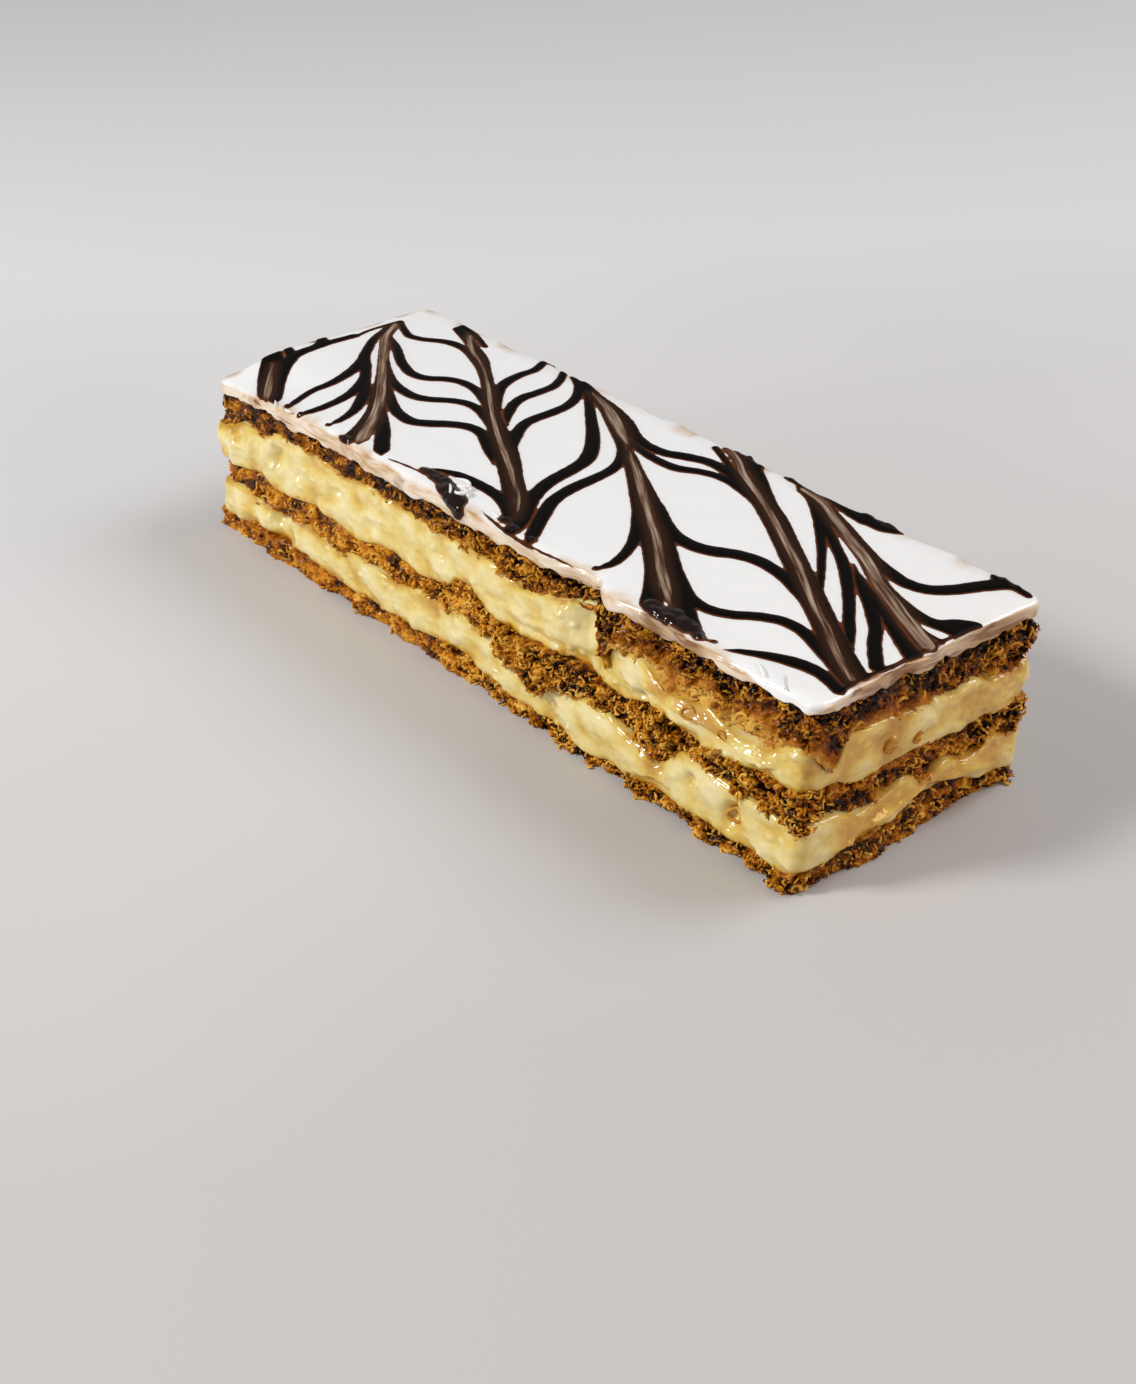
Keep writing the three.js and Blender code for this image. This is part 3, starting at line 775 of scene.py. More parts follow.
# %% Curl tree
SMALLEST, LARGEST = 0.6, 1.5  # sizes of the curls, as shares of the usual one
SWEEPS = (1.3, 2.3, 3.6)  # how far round the three curls go, in radians
WOBBLE_SIZE = 0.9 * MM
WOBBLE = 0.8 * MM
RANDOM = "FunctionNodeRandomValue"
curls = bpy.data.node_groups.new("curled flakes", "GeometryNodeTree")
given = named_inputs(
    curls, ("Density", "Float"), ("Radius", "Float"), ("Strip", "Float"), ("Seed", "Int"),
    ("Material", "Material"),
)
wall_mark, crisp_mark, film_mark = (
    add(curls, READ, FLOAT, {"Name": mark}) for mark in ("wall", "crisp", "film")
)
on_wall = add(curls, "FunctionNodeCompare", {"operation": "GREATER_THAN"}, {"A": wall_mark, "B": 0.9})
bare = add(curls, MATH, "MULTIPLY_ADD", [film_mark, -0.6, 1.0])
density = add(curls, MATH, "MULTIPLY", [bare, given["Density"]])
density = add(curls, MATH, "MULTIPLY", [density, crisp_mark])
spots = add(
    curls, "GeometryNodeDistributePointsOnFaces", {},
    {"Mesh": given["Geometry"], "Selection": on_wall, "Density": density, "Seed": given["Seed"]},
)
thickness = add(curls, MATH, "MULTIPLY", [given["Strip"], 0.7])
section = add(
    curls, "GeometryNodeCurvePrimitiveQuadrilateral", {},
    {"Width": given["Strip"], "Height": thickness},
)
choice = add(curls, "GeometryNodeJoinGeometry")
for sweep in SWEEPS:
    arc = add(
        curls, "GeometryNodeCurveArc", {},
        {"Resolution": 7, "Radius": given["Radius"], "Sweep Angle": sweep},
    )
    strip = add(
        curls, "GeometryNodeCurveToMesh", {},
        {"Curve": arc, "Profile Curve": section, "Fill Caps": True},
    )
    one = add(curls, "GeometryNodeGeometryToInstance", {}, [strip])
    curls.links.new(one.outputs[0], choice.inputs[0])
turn = add(
    curls, RANDOM, {"data_type": "FLOAT_VECTOR"},
    {"Min": (-0.5, -0.5, -3.1), "Max": (0.5, 0.5, 3.1), "Seed": given["Seed"]},
)
size = add(curls, RANDOM, {}, {"Min": SMALLEST, "Max": LARGEST, "Seed": given["Seed"]})
placed_curls = add(
    curls, "GeometryNodeInstanceOnPoints", {},
    {
        "Points": spots.outputs["Points"], "Instance": choice, "Pick Instance": True,
        "Rotation": spots.outputs["Rotation"], "Scale": size,
    },
)
turned = add(curls, "GeometryNodeRotateInstances", {}, {"Instances": placed_curls, "Rotation": turn})
tint = add(curls, RANDOM, {}, {"Min": -0.65, "Max": 0.08, "Seed": given["Seed"]})
shape = add(
    curls, STORE, {"data_type": "FLOAT", "domain": "INSTANCE"},
    {"Geometry": turned, "Name": "shade", "Value": tint},
)
shape = add(curls, "GeometryNodeRealizeInstances", {}, {"Geometry": shape})
bend = add(curls, NOISE, {}, {"Vector": add(curls, PLACE), "Scale": 1 / WOBBLE_SIZE, "Detail": 1.0})
bend = add(curls, VECTOR_MATH, "SUBTRACT", [bend.outputs["Color"], (NOISE_MIDDLE,) * 3])
bend = add(curls, VECTOR_MATH, "SCALE", {0: bend, "Scale": WOBBLE})
shape = add(curls, MOVE, {}, {"Geometry": shape, "Offset": bend})
shape = above_table(curls, shape)
shape = add(curls, STORE, ON_POINTS, {"Geometry": shape, "Name": "ridge", "Value": 0.85})
end_tree(curls, shape, given["Material"])
print("curled flakes:", len(curls.nodes), "nodes")

# %% Curls on each layer
CURLS_PER_SQUARE_MM = 0.9


def curls_on(layer, name, finish, slot, seed):
    """Curls scattered on a layer's wall, as one piece of their own."""
    piece = in_scene(name, layer.data.copy())
    values = {
        "Density": CURLS_PER_SQUARE_MM / MM**2, "Radius": 0.44 * MM, "Strip": 0.21 * MM, "Seed": seed,
        "Material": finish,
    }
    run_tree(piece, curls, values)
    hand_over(piece, slot)


curls_on(pastry_bottom, "pastry_bottom_flakes", baked, "baked_pastry", seed=5)
curls_on(pastry_middle, "pastry_middle_flakes", baked, "baked_pastry", seed=6)
curls_on(pastry_top, "pastry_top_flakes", caramelised, "caramelised_pastry", seed=7)
hand_over(pastry_bottom, "baked_pastry", "pastry_bottom")
hand_over(pastry_middle, "baked_pastry", "pastry_middle")
hand_over(pastry_top, "caramelised_pastry", "pastry_top")

# %% [markdown]
# ## Custard cream, as a material
# Pastry cream is milk, egg yolk and starch, cooked and chilled. Light enters it
# and comes out again nearby, so it needs subsurface scattering, and its cut
# skin is moist, which a clear coat over a softer base gives. Next to the pastry
# it has taken up fat and sugar, and turns from pale yellow to gold; part of that
# gold is painted shade where the cream meets the pastry. The colour is also
# painted lighter on lobes and darker in dents, as painted light and shade.

# %% Cream material
CLOUD_SIZE = 5 * MM
FLECK_SIZE = 1.1 * MM
cream, tree, shader = new_material(
    "custard cream",
    {
        "Roughness": 0.34, "IOR": 1.42, "Subsurface Weight": 0.4, "Subsurface Scale": 1.4 * MM,
        "Subsurface Radius": (1.0, 0.8, 0.35), "Coat Weight": 0.9, "Coat Roughness": 0.04,
    },
)
place = add(tree, "ShaderNodeTexCoord").outputs["Object"]
# the bulge mark paints the cream lighter on its lobes and darker in its dents: painted light and
# painted shade
tone, soak = (add(tree, MARK, {"attribute_name": mark}).outputs["Fac"] for mark in ("bulge", "soak"))
clouds = add(tree, NOISE, {}, {"Vector": place, "Scale": 1 / CLOUD_SIZE, "Detail": 3})
flecks = add(tree, NOISE, {}, {"Vector": place, "Scale": 1 / FLECK_SIZE, "Detail": 3})
for source, weight in ((clouds, 0.6), (soak, -0.62), (flecks, 0.12)):
    tone = add(tree, MATH, "MULTIPLY_ADD", [source, weight, tone])
tone = add(tree, MATH, {"operation": "SUBTRACT", "use_clamp": True}, [tone, 0.17])
stops = [(0.0, "#c6922a"), (0.16, "#d2a53c"), (0.34, "#e2c35e"), (0.6, "#ebd894"), (1.0, "#f3e7b6")]
colour = add(tree, RAMP, {"stops": stops}, [tone])
fill(tree, shader, {"Base Color": colour})
print("custard cream:", len(tree.nodes), "nodes")

# %% [markdown]
# ## Folds in the cream
# Dragged by the knife, cream dries into soft lobes, creases and a few pits. The
# ones that stand out are listed one by one, as pits and as creases along a line,
# and a second tree adds the soft random lobes, small drops and fine bumps.

# %% Cream tree
folds = bpy.data.node_groups.new("soft folds", "GeometryNodeTree")
given = named_inputs(
    folds, ("Lobes per Metre", "Vector"), ("Depth", "Float"), ("Seed", "Float"),
    ("Material", "Material"),
)
spot = add(folds, VECTOR_MATH, "MULTIPLY", [add(folds, PLACE), given["Lobes per Metre"]])
spot = add(folds, VECTOR_MATH, "ADD", [spot, given["Seed"]])
lobes = add(
    folds, NOISE, {},
    {"Vector": spot, "Scale": 1.0, "Detail": 1.0, "Roughness": 0.3, "Distortion": 0.15},
)
near_drop = add(folds, CELLS, {"feature": "F1"}, {"Vector": spot, "Scale": 1.3})
drops = add(
    folds, RANGE, SOFT_STEP,
    {"Value": near_drop.outputs["Distance"], "From Max": 0.26, "To Min": 1.0, "To Max": 0.0},
)
small = add(folds, NOISE, {}, {"Vector": spot, "Scale": 3.4, "Detail": 1.0, "Distortion": 0.3})
height = add(folds, MATH, "MULTIPLY_ADD", [small, 0.24, lobes])
height = add(folds, MATH, "MULTIPLY_ADD", [drops, 0.27, height])
height = add(folds, MATH, "SUBTRACT", [height, 0.65])
# this stored bulge later paints lobes lighter and dents darker in the cream's colour, as painted light
# and shade
bulge = add(folds, MATH, "MULTIPLY_ADD", [height, 1.2, 0.4])
end_tree(folds, pushed_out(folds, given, height, "bulge", bulge), given["Material"])
print("soft folds:", len(folds.nodes), "nodes")

# %% Cream layers
CREASE_FADE = 2.5  # mm over which a crease begins and ends


def pits(heights, *features):
    """Dents (or swellings) of (face, at, height, half length, half height, push)."""
    total = np.zeros_like(heights)
    for face, at, level, half_length, half_height, push in features:
        away = away_from(face, at) / half_length
        total += push * np.exp(-(away**2) - ((heights - level) / half_height) ** 2)
    return total


def crease(heights, face, points, rise):
    """A lip that hangs over a groove, along (at, height) points of one face."""
    places = [way_round(face, at) for at, _ in points]
    level = np.interp(way, places, [height for _, height in points])
    inside = np.clip(np.minimum(way - places[0], places[-1] - way) / CREASE_FADE, 0, 1)
    above = heights - level
    step = 0.35 + 0.65 * np.tanh(above / 0.4)
    return rise * inside * step * np.exp(-np.abs(above) / 2.0)


TUCK = 0.45  # how far the cream reaches behind the layers next to it
BELLY = 0.55  # how far its middle bulges out
SOAK_AND_SHADE, MOST_SOAK_AND_SHADE = 0.65, 0.85  # next to the pastry, and anywhere
LOBE_LENGTH = 5.4 * MM
LOBE_HEIGHT = 3.4 * MM
# the right end's cream, and a patch on the back, are painted more golden and darker: partly soaked
# cream, partly painted shade and a painted reflection of golden light
golden_soak_and_glow = bumps(("right", -8, 0.6, 14), ("right", 12, 0.55, 8), ("back", 40, 0.25, 20))


def cream_layer(name, low, high, rows, stand_out, seed, pit_list, crease_list, stain_and_shade_list):
    """A layer of cream between two lines, tucked a little under its neighbours."""
    chance = np.random.default_rng(seed)
    share = np.linspace(0, 1, rows)[:, None]
    bottom = low - TUCK
    top = high + TUCK
    heights = bottom + (top - bottom) * share
    out = stand_out + BELLY * np.sin(math.pi * share) ** 0.35 - 0.28
    out = out + pits(heights, *pit_list)
    for face, points, rise in crease_list:
        out = out + crease(heights, face, points, rise)
    soft = 0.75 + 0.35 * ragged(chance, 1.6)
    near = np.minimum(heights - low, high - heights)
    # next to the pastry the cream is painted more golden and darker: partly soaked fat, partly painted
    # shade where the layers meet
    soak = SOAK_AND_SHADE * np.exp(-np.clip(near, 0, None) / np.clip(soft, 0.15, None))
    # the listed stains darken the cream to gold: partly soaked fat, partly painted shade in hollows and
    # under lips
    soak = np.maximum(soak, golden_soak_and_glow + pits(heights, *stain_and_shade_list)).clip(0, MOST_SOAK_AND_SHADE)
    piece = layer_piece(name, heights, out, {"soak": soak}, cream)
    values = {
        "Lobes per Metre": (1 / LOBE_LENGTH, 1 / LOBE_LENGTH, 1 / LOBE_HEIGHT), "Depth": 1.5 * MM,
        "Seed": float(seed), "Material": cream,
    }
    return run_tree(piece, folds, values)


cream_lower = cream_layer(
    "cream_lower_folds", cream_lower_base, cream_lower_top, rows=26, stand_out=cream_lower_out, seed=7,
    pit_list=[
        ("front", -50, 7.6, 1.4, 1.2, -2.2), ("front", -60, 5.2, 3.0, 1.6, 0.7),
        ("front", 55, 5.8, 1.1, 1.5, -1.6), ("front", 47.5, 7.6, 0.9, 1.0, -0.8),
        ("front", 30, 6.0, 8.0, 2.0, 0.6),
    ],
    crease_list=[
        ("front", [(37, 3.4), (40, 4.2), (44, 4.4)], 0.8),
        ("right", [(-16, 4.2), (-4, 6.0), (2, 7.0), (8, 5.6), (18, 5.0)], 1.0),
    ],
    stain_and_shade_list=[("front", -52, 8.0, 3.0, 0.8, 0.7), ("front", 40, 6.4, 3.0, 1.8, 0.7)],
)
cream_upper = cream_layer(
    "cream_upper_folds", cream_upper_base, cream_upper_top, rows=38, stand_out=cream_upper_out,
    seed=19,
    pit_list=[
        ("front", -49.5, 18.0, 1.0, 2.0, -1.1), ("front", -44, 16.8, 1.5, 1.2, -0.6),
        ("front", -62, 16.5, 1.2, 3.0, 0.8), ("front", -57, 16.5, 1.1, 3.0, 0.7),
        ("front", -53, 17.0, 1.1, 3.0, 0.6), ("front", -33, 17.5, 1.4, 1.2, -0.9),
        ("front", -24, 16.0, 1.6, 1.0, -0.8), ("front", 24, 20.0, 2.6, 2.4, -1.2),
        ("front", 37, 14.9, 1.2, 0.9, -2.4), ("front", 17, 14.7, 8.0, 0.8, -0.6),
    ],
    crease_list=[("front", [(36, 16.8), (46, 16.9), (54, 16.6), (58, 15.2), (63, 16.8)], 1.2)],
    stain_and_shade_list=[
        ("front", 11, 19.6, 4.0, 1.4, 0.6), ("front", 25, 22.3, 3.0, 1.2, 0.5),
        ("front", 50, 17.8, 10.0, 1.6, 0.85),
    ],
)
hand_over(cream_lower, "custard_cream", "cream_lower")
hand_over(cream_upper, "custard_cream", "cream_upper")

# %% [markdown]
# ## Loose shreds
# A knife also leaves single shreds, such as the two that hang from the torn
# step of the top layer, and small crumbs stuck to the cream and to the soaked
# pastry. There are only a few, each in its own place, so a smooth curve with a
# round section draws each. A ray cast at the wall finds where its points lie.

# %% Strands along the wall
RAY_START = 5  # mm in front of the outline
TAPER = 0.3  # thickness of a strand's ends, as a share of its middle's


def strands(name, rows, finish, slot, marks, thickness):
    """Short bent strands through points of the slice in metres, as one piece."""
    drawn = bpy.data.curves.new(name, "CURVE")
    drawn.dimensions = "3D"
    drawn.bevel_depth = thickness / 2 * MM
    drawn.bevel_resolution = 3
    drawn.resolution_u = 6
    drawn.use_fill_caps = True
    for spots in rows:
        last = len(spots) - 1
        row = drawn.splines.new("NURBS")
        row.points.add(last)
        row.use_endpoint_u = True
        row.order_u = 3
        for i, spot in enumerate(spots):
            row.points[i].co = (*spot, 1)
            row.points[i].radius = TAPER if i in (0, last) else 1
    draft = in_scene(name, drawn)
    mesh = bpy.data.meshes.new_from_object(draft)
    bpy.data.objects.remove(draft)
    piece = in_scene(name, mesh)
    for mark, value in marks.items():
        kept = mesh.attributes.new(mark, "FLOAT", "POINT")
        kept.data.foreach_set("value", [value] * len(mesh.vertices))
    mesh.materials.clear()
    mesh.materials.append(finish)
    mesh.shade_smooth()
    hand_over(piece, slot)


def off_wall(layer, face, spots):
    """Points at (place along a face, height, gap) spots, each in front of the wall."""
    shape = BVHTree.FromObject(layer, bpy.context.evaluated_depsgraph_get())
    points = []
    for at, height, gap in spots:
        (base,), (out,) = outline(np.array([way_round(face, at)]))
        away = Vector((*out, 0))
        start = Vector(placed(*(base + RAY_START * out), height))
        hit = shape.ray_cast(start, -away)[0]
        points.append(hit + gap * MM * away)
    return points


print("rays start", RAY_START, "mm in front of the outline")

# %% Shreds and crumbs
# (place along the face, height, gap to the wall) of each shred's points
SHREDS = [
    [(28.2, 19.0, 0.6), (28.9, 18.3, 0.5), (29.5, 17.4, 0.5), (29.8, 16.5, 0.4), (29.7, 15.7, 0.3)],
    [(28.7, 18.7, 0.4), (29.5, 17.9, 0.4), (30.2, 17.0, 0.5), (30.5, 16.2, 0.3)],
]
rows = [off_wall(cream_upper, "front", shred) for shred in SHREDS]
marks = {"ridge": 0.75, "shade": 0.0}
strands("pastry_shreds", rows, caramelised, "caramelised_pastry", marks, thickness=0.8)


def crumb_ring(at, height, radius):
    """A crumb curled into an open ring, flat against the wall and a little wide."""
    turns = np.linspace(0.4, 5.6, 8)
    wide = 1.3 * radius
    return [(at + wide * math.cos(turn), height + radius * math.sin(turn), 0.1) for turn in turns]


# the layer, face, place, height and radius of each crumb
RINGS = [
    (cream_upper, "right", -6.0, 16.2, 0.9), (cream_upper, "right", -1.3, 15.7, 0.7),
    (cream_lower, "front", 55.0, 5.4, 0.9), (cream_upper, "front", 47.2, 17.7, 0.8),
    (cream_upper, "front", 53.4, 17.0, 0.7), (pastry_top, "front", 44.2, 20.2, 0.8),
    (pastry_top, "front", 46.8, 19.8, 0.7), (pastry_top, "front", 51.5, 20.4, 0.7),
    (pastry_top, "front", 55.0, 19.6, 0.9), (pastry_top, "front", 58.2, 19.8, 0.8),
    (pastry_top, "front", 62.4, 21.0, 0.8), (pastry_top, "right", -12.5, 21.2, 0.8),
    (pastry_top, "right", -4.5, 21.6, 0.7),
]
rows = [
    off_wall(layer, face, crumb_ring(at, height, radius)) for layer, face, at, height, radius in RINGS
]
marks = {"ridge": 0.9, "film": 0.75, "shade": 0.1}
strands("pastry_crumbs", rows, baked, "baked_pastry", marks, thickness=0.55)

# %% [markdown]
# ## White icing
# Fondant is poured on warm and sets as a smooth white slab with a rounded rim.
# Where the knife went through, its side is translucent and stained by sugar
# from the pastry. The rim is a fine wall, and the flat top a triangle net.

# %% Icing material
icing_white, tree, shader = new_material(
    "fondant icing",
    {
        "IOR": 1.48, "Subsurface Weight": 0.3, "Subsurface Scale": 1.2 * MM,
        "Subsurface Radius": (0.9, 0.85, 0.75), "Coat Weight": 0.5, "Coat Roughness": 0.06,
    },
)
place = add(tree, "ShaderNodeTexCoord").outputs["Object"]
band, stain = (add(tree, MARK, {"attribute_name": mark}).outputs["Fac"] for mark in ("band", "stain"))
along_rim = (1 / (6 * MM), 1 / (6 * MM), 1 / (1.1 * MM))
clouds = add(
    tree, NOISE, {},
    {
        "Vector": add(tree, VECTOR_MATH, "MULTIPLY", [place, along_rim]), "Scale": 1.0, "Detail": 3,
        "Distortion": 0.8,
    },
)
side = add(
    tree, RAMP, {"stops": [(0.3, "#b8905f"), (0.44, "#d6b994"), (0.6, "#ebdccb"), (0.8, "#e0c9ac")]},
    [clouds],
)
blend = add(tree, MIX, OF_COLOURS, {"Factor": band, "A": linear("#f9f9fa"), "B": side})
patch = add(tree, MATH, "MULTIPLY_ADD", [clouds, 1.2, stain])
patch = add(tree, RANGE, {}, {"Value": patch, "From Min": 0.95, "From Max": 1.25})
blend = add(tree, MIX, OF_COLOURS, {"Factor": patch, "A": blend, "B": linear("#8a5a20")})
rough = add(tree, RANGE, {}, {"Value": clouds, "To Min": 0.16, "To Max": 0.3})
fill(tree, shader, {"Base Color": blend, "Roughness": rough})
print("fondant icing:", len(tree.nodes), "nodes")

# %% Icing rim and top
RIM_ROWS = 20
RIM_RADIUS = 0.9
FOOT_RADIUS = 0.35
CORNER_SINK = 2.0
NET = 0.9  # between points of the triangle net
NET_EDGE = 2.0  # how far the net starts from the nominal outline
chance = np.random.default_rng(77)
rim_line = 0.25 + 0.7 * top_out + 0.03 * ragged(chance, 1.6) + 0.12 * ragged(chance, 5)
rim_foot = icing_base - 0.15 + 0.24 * ragged(chance, 2.2) + 0.08 * ragged(chance, 0.9)


def icing_level(x, y):
    """Height of the icing's top, which sinks towards the front left corner."""
    return ICING_TOP - CORNER_SINK * np.exp(-(((x + 64) / 16) ** 2) - ((y + 21) / 8) ** 2)


rim_top = icing_level(edge[:, 0], edge[:, 1])
share = np.linspace(0, 1, RIM_ROWS)[:, None] ** 0.9
rim_heights = rim_foot + (rim_top - rim_foot) * share
over = np.clip(1 - (rim_top - rim_heights) / RIM_RADIUS, 0, 1)
under = np.clip(1 - (rim_heights - rim_foot) / FOOT_RADIUS, 0, 1)
waves = np.stack([ragged(chance, 2.6) for _ in range(4)])
wave_at = share[:, 0] * (len(waves) - 1)
lower = wave_at.astype(int).clip(0, len(waves) - 2)
mix = (wave_at - lower)[:, None]
rim_waves = waves[lower] * (1 - mix) + waves[lower + 1] * mix
rim_out = rim_line + 0.06 * rim_waves * (1 - share) ** 0.5
rim_out = rim_out - RIM_RADIUS * (1 - np.sqrt(1 - over**2)) - FOOT_RADIUS * (1 - np.sqrt(1 - under**2))
rim_x = edge[:, 0] + outward[:, 0] * rim_out
rim_y = edge[:, 1] + outward[:, 1] * rim_out
rim = placed(rim_x, rim_y, rim_heights)

top_edge = np.stack([rim_x[-1], rim_y[-1]], axis=-1)
spacing = np.mgrid[
    -LENGTH / 2 + NET_EDGE : LENGTH / 2 - NET_EDGE : NET,
    -WIDTH / 2 + NET_EDGE : WIDTH / 2 - NET_EDGE : NET,
]
net = spacing.reshape(2, -1).T + chance.uniform(-0.2, 0.2, (spacing[0].size, 2))
front_at = np.interp(net[:, 0], rim_x[-1][way < STRAIGHT_X], rim_y[-1][way < STRAIGHT_X])
net = net[net[:, 1] > front_at + 0.8]
flat = [Vector(point) for point in np.concatenate([top_edge, net])]
loop = [list(range(COLUMNS))]
flat_points, _, flat_faces, sources, _, _ = geometry.delaunay_2d_cdt(flat, [], loop, 1, 1e-6)
print("icing top:", len(flat_faces), "triangles in the net")

# %% Icing mesh
base = lid_rings(rim_heights[0], rim_heights[0].mean())[::-1]
rings = len(base) + RIM_ROWS
wall_points = np.concatenate([*base, *rim])
last = (rings - 1) * COLUMNS
index = {}
extra = []
for i, (point, source) in enumerate(zip(flat_points, sources)):
    if source and source[0] < COLUMNS:
        index[i] = last + source[0]
    else:
        index[i] = rings * COLUMNS + len(extra)
        wave = 0.07 * noise.noise(Vector((point[0] / 6, point[1] / 6, 3.0)))
        extra.append((point[0], point[1], icing_level(*point) + wave))
extra = np.array(extra)
points = np.concatenate([wall_points, placed(extra[:, 0], extra[:, 1], extra[:, 2])])
faces = strips(rings)
faces.append(list(range(COLUMNS))[::-1])
faces += [[index[i] for i in face] for face in flat_faces]
white_from = 0.15 + 0.2 * ragged(chance, 3.0) + bumps(("front", 62, 2.2, 5.5))
fade = np.clip((rim_top - rim_heights - white_from) / 0.5 + 0.5, 0, 1)
stain = bumps(
    ("front", -66, 0.3, 2.0), ("front", -56, 0.5, 3.0), ("front", -47, 0.4, 3.0),
    ("front", -31, 0.45, 2.5), ("front", -17, 0.4, 3.0), ("front", -3, 0.5, 3.0),
    ("front", 12, 0.35, 7.0), ("front", 38, 0.6, 4.0), ("front", 46, 0.7, 4.0),
    ("left", -6, 0.75, 5.0), ("left", -3, 0.4, 1.5), ("right", -8, 0.6, 10.0), ("right", 12, 0.6, 9.0),
)
hidden = np.ones((len(base), COLUMNS))
band_mark = np.concatenate([hidden, fade]).ravel()
stain_mark = np.concatenate([0 * hidden, stain * np.clip(fade * 1.2, 0, 1)]).ravel()
marks = {
    "band": np.concatenate([band_mark, np.zeros(len(extra))]),
    "stain": np.concatenate([stain_mark, np.zeros(len(extra))]),
}
icing = mesh_piece("icing_slab", points.tolist(), faces, marks, icing_white)
hand_over(icing, "fondant_icing", "icing")

# %% [markdown]
# ## Feathered chocolate
# The baker pipes dark lines over the wet icing and draws a knife through them,
# one way and then the other. Where the knife went, the lines run together into
# long strokes, and the icing that it took along leaves brown and beige streaks
# between them. Each line has widths at its start, middle and end, and the
# places that it runs through, read from above before the layers slid back.

